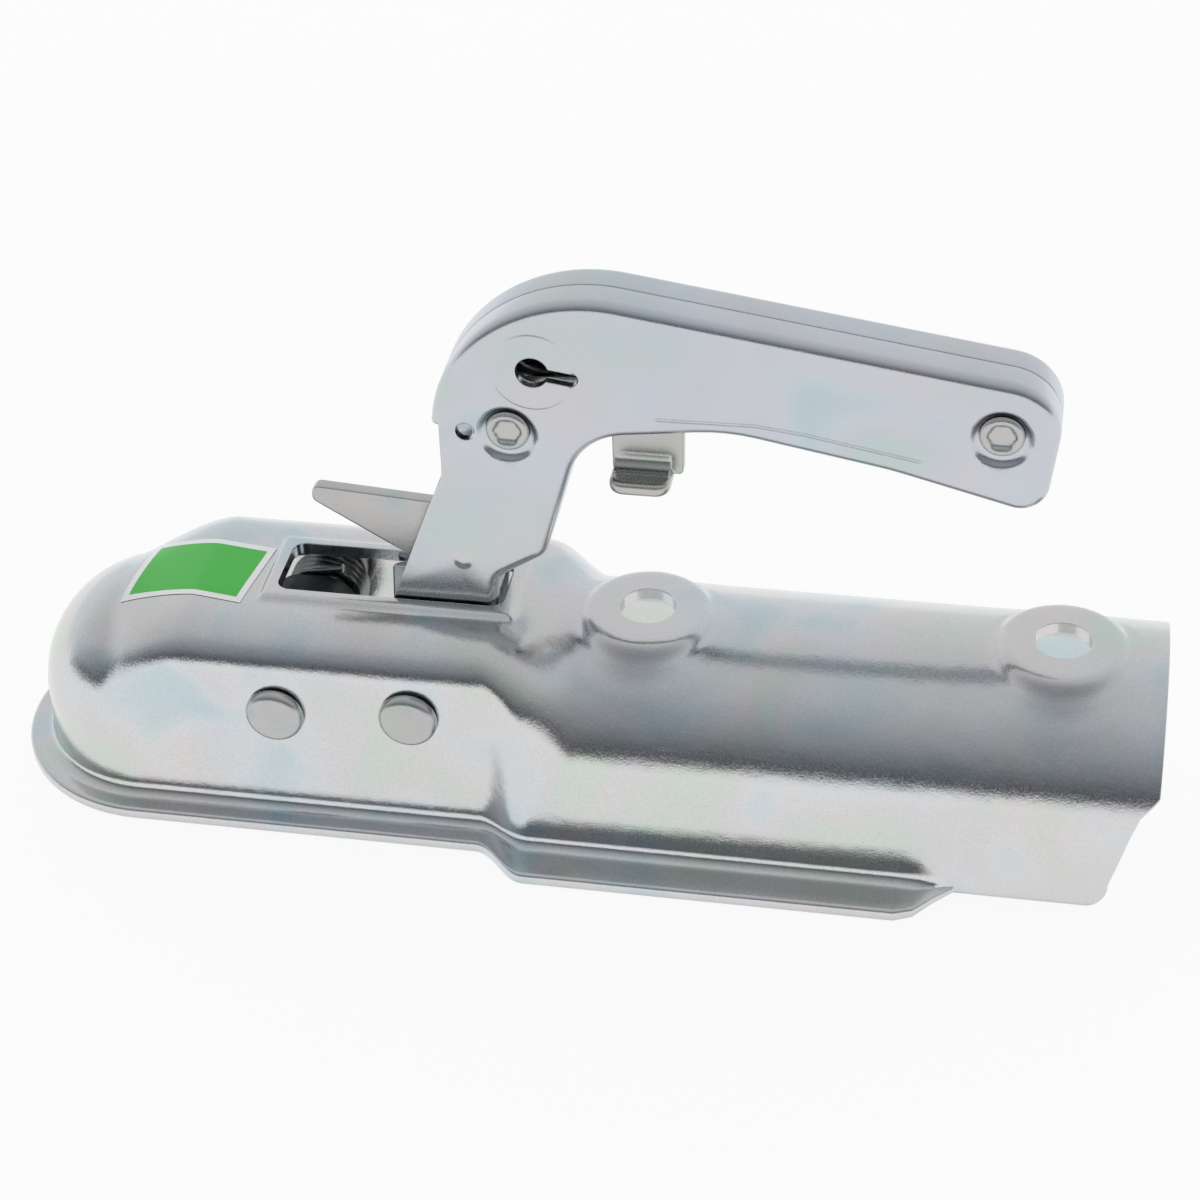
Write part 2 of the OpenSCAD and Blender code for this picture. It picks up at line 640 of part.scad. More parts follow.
// Coil of wire about the Y axis with a straight leg at each end, angles from +X towards +Z
module coil(c, r, wire, y0, y1, n, start, leg) {
    steps = 12 * n;
    function around(i) = start + 360 * i / 12;
    helix = [for (i = [0:steps]) [r * cos(around(i)), mix(y0, y1, i / steps), r * sin(around(i))]];
    path = concat(
        [helix[0] + leg * [sin(start), 0, -cos(start)]], helix,
        [helix[steps] + leg * [-sin(around(steps)), 0, cos(around(steps))]]);
    m = len(path);
    k = 6;
    function along(i) = unit(path[min(m - 1, i + 1)] - path[max(0, i - 1)]);
    points = [for (i = [0:m - 1]) let (t = along(i), u = unit(cross(t, [0, 1, 0])), v = cross(t, u))
        for (j = [0:k - 1]) c + path[i] + wire / 2 * (u * cos(60 * j) + v * sin(60 * j))];
    sides = [for (i = [0:m - 2]) for (j = [0:k - 1]) each [
        [i * k + j, i * k + (j + 1) % k, (i + 1) * k + j],
        [i * k + (j + 1) % k, (i + 1) * k + (j + 1) % k, (i + 1) * k + j]]];
    polyhedron(points, concat(sides, [[for (j = [k - 1:-1:0]) j]], [[for (j = [0:k - 1]) (m - 1) * k + j]]));
}

module jaw_spring() {
    r = sleeve_r + side_gap + wire_d / 2;
    color("darkgray") coil([jaw_pin_x, 0, jaw_pin_h], r, wire_d, jaw_w / 2 + wire_d,
        jaw_w / 2 + wire_d * (turns + 1.2), turns, 100, 7);
}

module handle_spring() {
    r = sleeve_r + side_gap + wire_d / 2;
    color("darkgray") coil([pivot_x, 0, pivot_h], r, wire_d, -grip_y - wire_d * (turns + 1.2),
        -grip_y - wire_d, turns, 80, 8);
}

module trigger_spring() {
    r = trigger_sleeve_r + 0.2 + fine_wire_d / 2;
    color("darkgray") coil([trigger_c[0], 0, trigger_c[1]], r, fine_wire_d, trigger_t / 2 + 0.7,
        cheek_y - dimple - 0.7, 2, 200, 5);
}

translate([-mid_x, 0, 0]) housing();
translate([-mid_x, 0, 0]) jaw_pin();
translate([-mid_x, 0, 0]) jaw_sleeve_left();
translate([-mid_x, 0, 0]) jaw_sleeve_right();
translate([-mid_x, 0, 0]) jaw();
translate([-mid_x, 0, 0]) jaw_spring();
translate([-mid_x, 0, 0]) handle_pin();
translate([-mid_x, 0, 0]) pivot_sleeve_left();
translate([-mid_x, 0, 0]) pivot_sleeve_right();
translate([-mid_x, 0, 0]) handle_spring();
translate([-mid_x, 0, 0]) handle_left();
translate([-mid_x, 0, 0]) handle_right();
translate([-mid_x, 0, 0]) pivot_bush();
translate([-mid_x, 0, 0]) cam();
translate([-mid_x, 0, 0]) cam_rivet();
translate([-mid_x, 0, 0]) trigger_rivet();
translate([-mid_x, 0, 0]) trigger_sleeve();
translate([-mid_x, 0, 0]) tail_rivet();
translate([-mid_x, 0, 0]) tail_sleeve();
translate([-mid_x, 0, 0]) trigger();
translate([-mid_x, 0, 0]) trigger_spring();
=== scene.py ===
# Trailer coupling head of pressed and zinc-plated steel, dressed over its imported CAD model.
import bpy, bmesh, math
import numpy as np
from mathutils import Matrix, Vector
from mathutils.bvhtree import BVHTree
from mathutils.geometry import delaunay_2d_cdt


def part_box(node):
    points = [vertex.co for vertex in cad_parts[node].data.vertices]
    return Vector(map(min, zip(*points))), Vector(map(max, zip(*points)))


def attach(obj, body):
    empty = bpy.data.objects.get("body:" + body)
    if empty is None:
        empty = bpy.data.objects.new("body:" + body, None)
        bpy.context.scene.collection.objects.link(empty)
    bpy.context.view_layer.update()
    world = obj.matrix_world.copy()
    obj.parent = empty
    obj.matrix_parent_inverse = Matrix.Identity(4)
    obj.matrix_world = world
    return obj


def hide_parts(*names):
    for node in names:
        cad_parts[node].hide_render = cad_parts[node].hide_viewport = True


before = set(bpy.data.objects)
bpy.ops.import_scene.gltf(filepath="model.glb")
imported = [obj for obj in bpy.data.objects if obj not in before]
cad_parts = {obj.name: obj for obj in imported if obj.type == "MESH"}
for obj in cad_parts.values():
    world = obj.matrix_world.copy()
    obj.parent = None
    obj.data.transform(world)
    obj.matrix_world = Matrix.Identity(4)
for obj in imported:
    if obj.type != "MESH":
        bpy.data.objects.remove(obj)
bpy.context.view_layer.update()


# Camera: a close three-quarter view from the side and above, turned a little to the tail, as the photo has it.
# Its place, lens and roll were solved from the two bolt holes and the round nose.
view_az, view_el, view_roll = math.radians(11.57), math.radians(37.07), math.radians(-2.26)
look_at, look_from = Vector((0.00659, 0.0, 0.04689)), 0.61451
back = Vector((math.sin(view_az) * math.cos(view_el), -math.cos(view_az) * math.cos(view_el), math.sin(view_el)))
right = Vector((math.cos(view_az), math.sin(view_az), 0.0))
up = back.cross(right)
turn = Matrix.Rotation(view_roll, 3, back)
right, up = turn @ right, turn @ up
camera = bpy.data.objects.new("camera", bpy.data.cameras.new("camera"))
camera.data.lens, camera.data.sensor_width, camera.data.clip_start = 84.04, 36.0, 0.01
facing = Matrix((right, up, back)).transposed().to_4x4()
camera.matrix_world = Matrix.Translation(look_at + back * look_from) @ facing
bpy.context.scene.collection.objects.link(camera)
bpy.context.scene.camera = camera


# Studio: a white table in a pale room. What the bent sheet shows is the room round it: white low in front, a
# darker band over it that pales upwards, and a light wall behind. One weak soft box behind gives the shadow.
def linear(hex_colour):
    """The linear values of an sRGB colour."""
    values = [int(hex_colour[i:i + 2], 16) / 255 for i in (1, 3, 5)]
    return [v / 12.92 if v <= 0.04045 else ((v + 0.055) / 1.055) ** 2.4 for v in values] + [1.0]


def node(tree, kind, settings=None, **links):
    """A node with its settings by name or socket number, and its links by socket name or as i0, i1."""
    made = tree.nodes.new(kind)
    for name, value in (settings or {}).items():
        if isinstance(name, str) and hasattr(made, name) and name not in made.inputs:
            setattr(made, name, value)
        else:
            made.inputs[name].default_value = value
    for name, source in links.items():
        tree.links.new(source, made.inputs[int(name[1:]) if name[1:].isdigit() else name.replace("_", " ")])
    return made


def blend_stops(tree, source, stops, blend="LINEAR"):
    """Colours blended along a value; the stops are places and hex colours."""
    made = node(tree, "ShaderNodeValToRGB", Fac=source)
    made.color_ramp.interpolation = blend
    while len(made.color_ramp.elements) < len(stops):
        made.color_ramp.elements.new(0.5)
    for element, (place, colour) in zip(made.color_ramp.elements, stops):
        element.position = place
        element.color = linear(colour)
    return made.outputs["Color"]


def straight_look(tree):
    """The light path node, and a value that is one where the camera looks straight or through something clear."""
    rays = node(tree, "ShaderNodeLightPath")
    straight = node(tree, "ShaderNodeMath", {"operation": "MAXIMUM"},
                    i0=rays.outputs["Is Camera Ray"], i1=rays.outputs["Is Transmission Ray"])
    return rays, straight.outputs[0]


def blank_material(name):
    """A new material with an empty node tree."""
    made = bpy.data.materials.new(name)
    made.use_nodes = True
    made.node_tree.nodes.clear()
    return made, made.node_tree


world = bpy.data.worlds.new("studio")
bpy.context.scene.world = world
world.use_nodes = True
sky = world.node_tree
sky.nodes.clear()
direction = node(sky, "ShaderNodeTexCoord")
axis = node(sky, "ShaderNodeSeparateXYZ", Vector=direction.outputs["Generated"])
forward = node(sky, "ShaderNodeMath", {"operation": "MULTIPLY", 1: -1.0}, i0=axis.outputs["Y"])
angle = node(sky, "ShaderNodeMath", {"operation": "ARCTAN2"}, i0=axis.outputs["Z"], i1=forward.outputs[0])
around = node(sky, "ShaderNodeMapRange", {"From Min": 0.0, "From Max": math.pi}, Value=angle.outputs[0])
room = blend_stops(sky, around.outputs["Result"], (
    (0.0, "#FFFFFF"), (0.055, "#FFFFFF"), (0.08, "#484B50"), (0.12, "#64686D"), (0.2, "#8D9196"),
    (0.3, "#ADB0B4"), (0.42, "#C6C8CA"), (0.6, "#D2D4D6"), (0.74, "#DEDFE1"), (1.0, "#EEEFF0")))
_, straight = straight_look(sky)
lit = node(sky, "ShaderNodeBackground", {"Strength": 1.0}, Color=room)
plain = node(sky, "ShaderNodeBackground", {"Color": (1, 1, 1, 1), "Strength": 1.0})
chosen = node(sky, "ShaderNodeMixShader", i0=straight, i1=lit.outputs[0], i2=plain.outputs[0])
node(sky, "ShaderNodeOutputWorld", Surface=chosen.outputs[0])

box = bpy.data.objects.new("box_behind", bpy.data.lights.new("box_behind", "AREA"))
box.data.shape = "RECTANGLE"
box.data.size, box.data.size_y = 1.2, 0.8
box.data.energy = 2.6
box.visible_glossy = False
box.location = (-0.15, 0.8, 0.8)
box.rotation_euler = (Vector((0, 0, 0.05)) - box.location).to_track_quat("-Z", "Y").to_euler()
bpy.context.scene.collection.objects.link(box)

# The table is white laminate. Straight looks and reflections see it nearly as a plain white, with a faint shadow.
reach, own_white = 3.0, 0.92
table = bpy.data.objects.new("table", bpy.data.meshes.new("table"))
corners = [(-reach, -reach, 0), (reach, -reach, 0), (reach, reach, 0), (-reach, reach, 0)]
table.data.from_pydata(corners, [], [(0, 1, 2, 3)])
bpy.context.scene.collection.objects.link(table)
laminate, tree = blank_material("white_table")
surface = node(tree, "ShaderNodeBsdfPrincipled", {"Base Color": linear("#F4F4F4"), "Roughness": 0.9})
white = node(tree, "ShaderNodeEmission", {"Color": (1, 1, 1, 1), "Strength": 1.0})
rays, straight = straight_look(tree)
any_way = node(tree, "ShaderNodeMath", {"operation": "MAXIMUM"}, i0=straight, i1=rays.outputs["Is Glossy Ray"])
share = node(tree, "ShaderNodeMath", {"operation": "MULTIPLY", 1: own_white}, i0=any_way.outputs[0])
mixed = node(tree, "ShaderNodeMixShader", i0=share.outputs[0], i1=surface.outputs[0], i2=white.outputs[0])
node(tree, "ShaderNodeOutputMaterial", Surface=mixed.outputs[0])
table.data.materials.append(laminate)


# Housing: one deep-drawn shell of 3 mm steel with a round nose over the ball, a boxed middle with a collared
# opening, and a round seat for the drawbar tube. The press leaves soft folds, a turned-out flange and bolt pads.
# Sizes are in mm from the ball's centre and from the flange's underside.
mm = 0.001
low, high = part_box("housing")
ball_r, sheet = 25.14, 3.0
dome_r = ball_r + sheet
flange_nose, flange_tube, flange_end, flange_slant = 6.2, 9.8, 174.4, 8.8
nose_x = low[0] / mm + dome_r + flange_nose
ball_h, roof_h, lean_h, axis_h, tube_r = 15.6, 48.4, 19.0, 12.0, 33.25
squareness, ramp_lead, ramp_len, ramp_bow, shoulder = 4.2, 8.0, 13.0, 1.4, 0.84
step_x, seat_x, tail_x = 76.7, 98.7, 225.2
wall_run, round_run = (step_x + 2, seat_x - 8), (step_x + 4, seat_x + 2)
slot_x, slot_len, slot_w, slot_corner = 30.8, 51.0, 17.4, 3
collar_w, collar_h, collar_soft = 3.8, 1.1, 2
collar_x0, collar_x1, collar_y = slot_x - collar_w, slot_x + slot_len + collar_w, slot_w / 2 + collar_w
bolts, bolt_r = (112.7, 112.7 + 90.0), 6.25
pad_r, pad_h, pad_lip, pad_slope, pad_round = 14.5, 46.4, 0.9, 0.75, 0.8
pad_near, pad_far, pad_fade = 0.3, 1.7, (21, 27)
fold_r, edge_r = 3.0, 1.0
fold_top, lip_z, hem_z = sheet + fold_r, 2.4, 1.0


def ease(k):
    """A smooth step from 0 to 1."""
    k = np.clip(k, 0, 1)
    return k * k * (3 - 2 * k)


def rise(x, x0, x1):
    return ease((x - x0) / (x1 - x0))


def section_at(x):
    """Half width, start of the crown, top and squareness of the section at x."""
    along = np.clip((x + ramp_lead) / (ramp_len + ramp_lead), 0, 1)
    to_box = 0.5 * along ** ramp_bow + 0.5 * ease(along)
    to_seat, to_round = rise(x, *wall_run), rise(x, *round_run)
    wall = dome_r + (tube_r - dome_r) * to_seat
    base = (ball_h + (lean_h - ball_h) * to_box) * (1 - to_round) + axis_h * to_round
    top = (ball_h + dome_r + (roof_h - ball_h - dome_r) * to_box) * (1 - to_round) + (axis_h + tube_r) * to_round
    return wall, base, top, (2 + (squareness - 2) * ease(along)) * (1 - to_round) + 2 * to_round


def crown_line(x, depth, turn=0.0):
    """Roof line from the middle to the straight wall, at a depth under the outer face. In the nose, which is
    turned about the ball, each place takes the ramp's section where it lies."""
    across, upward = np.linspace(0, shoulder, 40), np.linspace(1, 0, 20)[1:]
    m = len(across)
    place = np.full(m + len(upward), float(x))
    for _ in range(3 if turn else 1):
        wall, base, top, n = section_at(place)
        roof, side = n[:m], n[m:]
        tall = np.concatenate([(1 - across ** roof) ** (1 / roof), upward * (1 - shoulder ** side) ** (1 / side)])
        wide = np.concatenate([across, (1 - tall[m:] ** side) ** (1 / side)])
        if turn:
            place = -dome_r * wide * math.sin(turn)
    y, z = wide * (wall - depth), base + tall * (top - depth - base)
    lift = rise(x, collar_x0, collar_x0 + collar_soft) * (1 - rise(x, collar_x1 - collar_soft, collar_x1))
    z = z + collar_h * lift * (1 - rise(y, collar_y - collar_soft, collar_y))
    for bolt in bolts:
        rho = np.hypot(x - bolt, y)
        over = rho - pad_r + pad_lip
        pad = pad_h - depth - pad_slope * (over + np.sqrt(over ** 2 + pad_round))
        soft = (pad_near + pad_far * rise(rho, pad_r - 0.5, pad_r + 3.0)) * (1 - rise(rho, *pad_fade))
        z = np.where(rho < pad_fade[1] + 1, (pad + z + np.sqrt((pad - z) ** 2 + soft ** 2)) / 2, z)
    return y, z, wall[-1]


def arc(cx, cz, r, a0, a1, steps):
    a = np.radians(np.linspace(a0, a1, steps + 1))
    return np.stack([cx + r * np.cos(a), cz + r * np.sin(a)], 1)


def half_section(x, depth, turn=0.0):
    """Half of the sheet's section at x: down the outside, round the flange, and back up the inside. Past the
    flange's slanted end the wall just ends."""
    y, z, wall = crown_line(x, 0, turn)
    flange = flange_nose + (flange_tube - flange_nose) * rise(x, *wall_run)
    edge = np.concatenate([
        arc(wall + fold_r, fold_top, fold_r, 180, 270, 8),
        arc(wall + flange - edge_r, sheet - edge_r, edge_r, 90, 0, 4),
        arc(wall + flange - edge_r, edge_r, edge_r, 0, -90, 4),
        arc(wall + fold_r, fold_top, fold_r + sheet, 270, 180, 8)])
    steps = np.linspace(0, 1, 9)
    few = steps[:5]
    plain_edge = np.concatenate([
        np.stack([wall + 0 * steps, fold_top - sheet * steps], 1),
        np.stack([wall + 0 * few, lip_z - lip_z / 2 * few], 1),
        np.stack([wall - sheet * (0.1 + 0.8 * few * 2), hem_z + 0 * few], 1),
        np.stack([wall - depth + 0 * steps, lip_z + (fold_top - lip_z) * steps], 1)])
    free = np.clip((x - flange_end) / flange_slant, 0, 1)
    edge = edge * (1 - free) + plain_edge * free
    yi, zi, wall = crown_line(x, depth, turn)
    return np.concatenate([np.stack([y, z], 1), edge, np.stack([yi, zi], 1)[::-1]])


def mesh_object(name, points, faces, sharp=35.0):
    """An object in the scene with its faces turned outwards, smooth but for edges sharper than an angle."""
    made = bpy.data.objects.new(name, bpy.data.meshes.new(name))
    made.data.from_pydata([tuple(p) for p in points], [], faces)
    made.data.validate()
    shape = bmesh.new()
    shape.from_mesh(made.data)
    bmesh.ops.recalc_face_normals(shape, faces=shape.faces)
    shape.to_mesh(made.data)
    shape.free()
    smooth(made, sharp)
    bpy.context.scene.collection.objects.link(made)
    return made


def smooth(piece, sharp):
    piece.data.shade_smooth()
    piece.data.set_sharp_from_angle(angle=math.radians(sharp))


# The shell is built from sections, close together where the form changes. The nose is turned about the ball.
nose_turns, half_count, pad_span = 60, len(half_section(0.0, sheet)), 17.5
stations = np.concatenate([
    np.linspace(0, ramp_len, 18), np.arange(ramp_len + 1, collar_x0, 1.5),
    np.linspace(collar_x0, collar_x0 + collar_soft, 7), np.linspace(collar_x0 + 2 * collar_soft, step_x, 16),
    np.linspace(step_x + 0.8, seat_x - 4, 22),
    np.arange(bolts[0] - pad_span, bolts[0] + pad_span + 0.5, 0.7),
    np.linspace(bolts[0] + pad_span + 1.5, bolts[1] - pad_span - 1.5, 14),
    np.arange(bolts[1] - pad_span, bolts[1] + pad_span + 0.5, 0.7),
    np.linspace(bolts[1] + pad_span + 1.5, tail_x + 2, 5)])
sections = []
for x in stations:
    half = half_section(x, sheet)
    ring = np.concatenate([half, half[-2:0:-1] * (-1, 1)])
    sections.append(np.column_stack([np.full(len(ring), x), ring]))
n = len(sections[0])
points, faces = list(np.concatenate(sections)), []
for i in range(len(stations) - 1):
    for j in range(n):
        k = (j + 1) % n
        faces.append((i * n + j, i * n + k, (i + 1) * n + k, (i + 1) * n + j))
faces.append(tuple((len(stations) - 1) * n + j for j in range(n))[::-1])
nose_start = len(points)
for i in range(1, nose_turns):
    a = math.pi * i / nose_turns
    points += [(-p[0] * math.sin(a), p[0] * math.cos(a), p[1]) for p in half_section(0.0, sheet, a)]


def spot(i, j):
    """The number of a point of the nose, which shares its two sides and its middle with the first section."""
    if i == 0 or j in (0, half_count - 1):
        return j
    return n - j if i == nose_turns else nose_start + (i - 1) * half_count + j


for i in range(nose_turns):
    for j in range(half_count - 1):
        corners = [spot(i, j), spot(i + 1, j), spot(i + 1, j + 1), spot(i, j + 1)]
        faces.append(tuple(c for m, c in enumerate(corners) if c not in corners[:m]))
housing = mesh_object("housing_shell", [((p[0] + nose_x) * mm, p[1] * mm, p[2] * mm) for p in points], faces)


def cut(piece, points, faces):
    """Takes a closed solid away from a piece."""
    tool = mesh_object("cutter", points, faces)
    change = piece.modifiers.new("cut", "BOOLEAN")
    change.operation, change.object, change.solver = "DIFFERENCE", tool, "EXACT"
    mesh = bpy.data.meshes.new_from_object(piece.evaluated_get(bpy.context.evaluated_depsgraph_get()))
    piece.modifiers.clear()
    piece.data = mesh
    bpy.data.objects.remove(tool)


def cut_prism(piece, lows, highs):
    """Takes away the closed prism between two lists of corners in mm that follow the same outline."""
    m = len(lows)
    sides = [(i, (i + 1) % m, m + (i + 1) % m, m + i) for i in range(m)]
    points = [((x + nose_x) * mm, y * mm, z * mm) for x, y, z in lows + highs]
    cut(piece, points, sides + [tuple(range(m))[::-1], tuple(range(m, 2 * m))])


def cut_down(piece, outline, z0, z1):
    cut_prism(piece, *[[(x, y, z) for x, y in outline] for z in (z0, z1)])


def cut_across(piece, outline, y0, y1):
    cut_prism(piece, *[[(x, y, z) for x, z in outline] for y in (y0, y1)])


def rounded_slot(x0, x1, y1, r, steps=8):
    corners = ((x1 - r, y1 - r, 0), (x0 + r, y1 - r, 90), (x0 + r, -y1 + r, 180), (x1 - r, -y1 + r, 270))
    return [p for cx, cy, a in corners for p in arc(cx, cy, r, a, a + 90, steps)]


under_roof, over_roof, past_side = 30, 70, 60
cut_down(housing, rounded_slot(slot_x, slot_x + slot_len, slot_w / 2, slot_corner), under_roof, over_roof)
for bolt in bolts:
    cut_down(housing, arc(bolt, 0, bolt_r, 0, 360, 64)[:-1], under_roof, over_roof)
slant = [(0, 60), (0, 28.7), (1.0, 27.5), (3.7, 24.7), (5.6, 20), (7, 15.2), (8.6, 9.3)]
corner_in, corner_z, corner_r = 15.4, 7.0, 6.4
tail_end = [(tail_x - inward, z) for inward, z in slant]
tail_end += list(arc(tail_x - corner_in, corner_z, corner_r, 5, -90, 8))
tail_end += [(tail_x - corner_in, -2), (tail_x + 6, -2), (tail_x + 6, 60)]
cut_across(housing, tail_end, -past_side, past_side)
smooth(housing, 35)
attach(housing, "root")
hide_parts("housing")


# Zinc plating on pressed sheet: a pale satin metal that shows soft reflections, with a fine grain from the rolled
# sheet, clouds of blue and straw from the passivation, hairline scuffs, rubbed, brighter edges, and painted shade
# in hollows.
def zinc_plating(name, tone, cool, warm, rough, cloud_mm, grain_mm, grain):
    metal, tree = blank_material(name)
    place = node(tree, "ShaderNodeTexCoord").outputs["Object"]
    cloud = node(tree, "ShaderNodeTexNoise",
                 {"Scale": 1 / (cloud_mm * mm), "Detail": 2.0, "Roughness": 0.5}, Vector=place)
    tint = blend_stops(tree, cloud.outputs["Fac"], ((0.2, cool), (0.5, tone), (0.8, warm)), "B_SPLINE")
    blush = node(tree, "ShaderNodeTexNoise",
                 {"Scale": 0.9 / (cloud_mm * mm), "Detail": 1.0, "Distortion": 0.6}, Vector=place)
    film = blend_stops(tree, blush.outputs["Fac"], (
        (0.3, "#D3ECF2"), (0.42, "#FFFFFF"), (0.54, "#FFEFF2"), (0.68, "#E6FAE8")), "B_SPLINE")
    toned = node(tree, "ShaderNodeMix", {"data_type": "RGBA", "blend_type": "MULTIPLY", 0: 0.55},
                 i6=tint, i7=film)
    # Grain: fine specks and larger mottles, in the colour, the gloss and the relief.
    speck = node(tree, "ShaderNodeTexNoise",
                 {"Scale": 1 / (grain_mm * mm), "Detail": 3.0, "Roughness": 0.6}, Vector=place)
    mottle = node(tree, "ShaderNodeTexNoise",
                  {"Scale": 1 / (9 * grain_mm * mm), "Detail": 2.0, "Roughness": 0.5}, Vector=place)
    spangle = blend_stops(tree, speck.outputs["Fac"], ((0.36, "#B4B6BA"), (0.6, "#FFFFFF")), "B_SPLINE")
    speckled = node(tree, "ShaderNodeMix", {"data_type": "RGBA", "blend_type": "MULTIPLY", 0: 0.35 * grain},
                    i6=toned.outputs[2], i7=spangle)
    relief = node(tree, "ShaderNodeMath", {"operation": "MULTIPLY_ADD", 1: 2.2},
                  i0=mottle.outputs["Fac"], i2=speck.outputs["Fac"])
    # Painted shade: an ambient occlusion mask darkens the colour in narrow hollows, creases and the insides of
    # pressings.
    hollow = node(tree, "ShaderNodeAmbientOcclusion", {"samples": 4, "Distance": 7 * mm})
    unshaded_share = node(tree, "ShaderNodeMapRange",
                    {"From Min": 0.05, "From Max": 0.5, "To Min": 0.35, "To Max": 1.0},
                    Value=hollow.outputs["AO"])
    # Scuffs: long thin streaks that are a little duller.
    stretched = node(tree, "ShaderNodeMapping",
                     {"Rotation": (0.3, 0.2, 0.5), "Scale": (60, 60, 4200)}, Vector=place)
    scuff = node(tree, "ShaderNodeTexNoise",
                 {"Scale": 1.0, "Detail": 2.0, "Roughness": 0.7}, Vector=stretched.outputs[0])
    scuffed = node(tree, "ShaderNodeMapRange",
                   {"interpolation_type": "SMOOTHSTEP", "From Min": 0.62, "From Max": 0.74},
                   Value=scuff.outputs["Fac"])
    # Edges are broken by 0.5 mm and rubbed pale.
    soft = node(tree, "ShaderNodeBevel", {"samples": 6, "Radius": 0.5 * mm})
    true_face = node(tree, "ShaderNodeNewGeometry")
    bent = node(tree, "ShaderNodeVectorMath", {"operation": "DOT_PRODUCT"},
                i0=soft.outputs[0], i1=true_face.outputs["Normal"])
    rubbed = node(tree, "ShaderNodeMapRange", {"From Min": 0.995, "From Max": 0.86}, Value=bent.outputs["Value"])
    edged = node(tree, "ShaderNodeMix", {"data_type": "RGBA", 7: linear("#E9EAEA")},
                 i0=rubbed.outputs["Result"], i6=speckled.outputs[2])
    # Painted shade: where the occlusion mask is low, the colour is mixed toward a near-black grey.
    shade_painted_colour = node(tree, "ShaderNodeMix", {"data_type": "RGBA", 6: linear("#26282A")},
                  i0=unshaded_share.outputs["Result"], i7=edged.outputs[2])
    gloss = node(tree, "ShaderNodeMapRange",
                 {"From Min": 0.3, "From Max": 0.7, "To Min": rough - 0.04, "To Max": rough + 0.08},
                 Value=speck.outputs["Fac"])
    matt = node(tree, "ShaderNodeMath", {"operation": "MULTIPLY_ADD", 1: 0.1},
                i0=scuffed.outputs["Result"], i2=gloss.outputs["Result"])
    bump = node(tree, "ShaderNodeBump", {"Strength": grain, "Distance": 0.04 * mm},
                Height=relief.outputs[0], Normal=soft.outputs["Normal"])
    shade = node(tree, "ShaderNodeBsdfPrincipled", {"Metallic": 1.0},
                 Base_Color=shade_painted_colour.outputs[2], Roughness=matt.outputs[0], Normal=bump.outputs["Normal"])
    node(tree, "ShaderNodeOutputMaterial", Surface=shade.outputs[0])
    return metal


housing_zinc = zinc_plating("zinc_plated_pressed_steel", "#DEE1E2", "#D7DEE3", "#E1DFDC", 0.125, 22, 0.45, 0.6)
housing.data.materials.append(housing_zinc)


# Inspection sticker: a printed film, stuck over the ramp of the nose. Its place is kept with a plain green field
# in a white border, and it carries no words or marks. The film is thin, glossy and a little uneven.
film_x, film_y, film_turn = 10.6, -1.2, math.radians(-8)
film_long, film_wide, film_border, film_lift = 30.0, 20.5, 1.6, 0.12
shell_faces = [tuple(f.vertices) for f in housing.data.polygons]
shell = BVHTree.FromPolygons([v.co for v in housing.data.vertices], shell_faces)
long_in, wide_in = 0.5 - film_border / film_long, 0.5 - film_border / film_wide
us = np.sort(np.concatenate([np.linspace(-0.5, 0.5, 30), [-long_in, long_in]]))
vs = np.sort(np.concatenate([np.linspace(-0.5, 0.5, 24), [-wide_in, wide_in]]))
points, faces, tones = [], [], []
for u in us:
    for v in vs:
        x = film_x + film_long * u * math.cos(film_turn) - film_wide * v * math.sin(film_turn)
        y = film_y + film_long * u * math.sin(film_turn) + film_wide * v * math.cos(film_turn)
        hit, outward = shell.ray_cast(Vector(((x + nose_x) * mm, y * mm, 0.1)), Vector((0, 0, -1)))[:2]
        points.append(hit + outward * math.copysign(film_lift * mm, outward.z))
m = len(vs)
for i in range(len(us) - 1):
    for j in range(m - 1):
        faces.append((i * m + j, (i + 1) * m + j, (i + 1) * m + j + 1, i * m + j + 1))
        in_field = abs(us[i] + us[i + 1]) / 2 < long_in and abs(vs[j] + vs[j + 1]) / 2 < wide_in
        tones.append(0 if in_field else 1)
film = mesh_object("sticker_film", points, faces)
film.data.polygons.foreach_set("material_index", tones)


def printed_film(name, ink):
    made, tree = blank_material(name)
    place = node(tree, "ShaderNodeTexCoord").outputs["Object"]
    dots = node(tree, "ShaderNodeTexNoise", {"Scale": 1 / (0.25 * mm), "Detail": 1.0}, Vector=place)
    pale = [min(1.0, c * 1.08) for c in linear(ink)[:3]] + [1.0]
    tone = node(tree, "ShaderNodeMix", {"data_type": "RGBA", 6: linear(ink), 7: pale}, i0=dots.outputs["Fac"])
    wave = node(tree, "ShaderNodeTexNoise", {"Scale": 1 / (6 * mm), "Detail": 1.0}, Vector=place)
    bump = node(tree, "ShaderNodeBump", {"Strength": 0.2, "Distance": 0.1 * mm}, Height=wave.outputs["Fac"])
    shade = node(tree, "ShaderNodeBsdfPrincipled", {"Roughness": 0.32, "Coat Weight": 0.3},
                 Base_Color=tone.outputs[2], Normal=bump.outputs["Normal"])
    node(tree, "ShaderNodeOutputMaterial", Surface=shade.outputs[0])
    return made


film.data.materials.append(printed_film("green_printed_film", "#3CC23C"))
film.data.materials.append(printed_film("white_printed_film", "#FAFBF8"))
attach(film, "root")


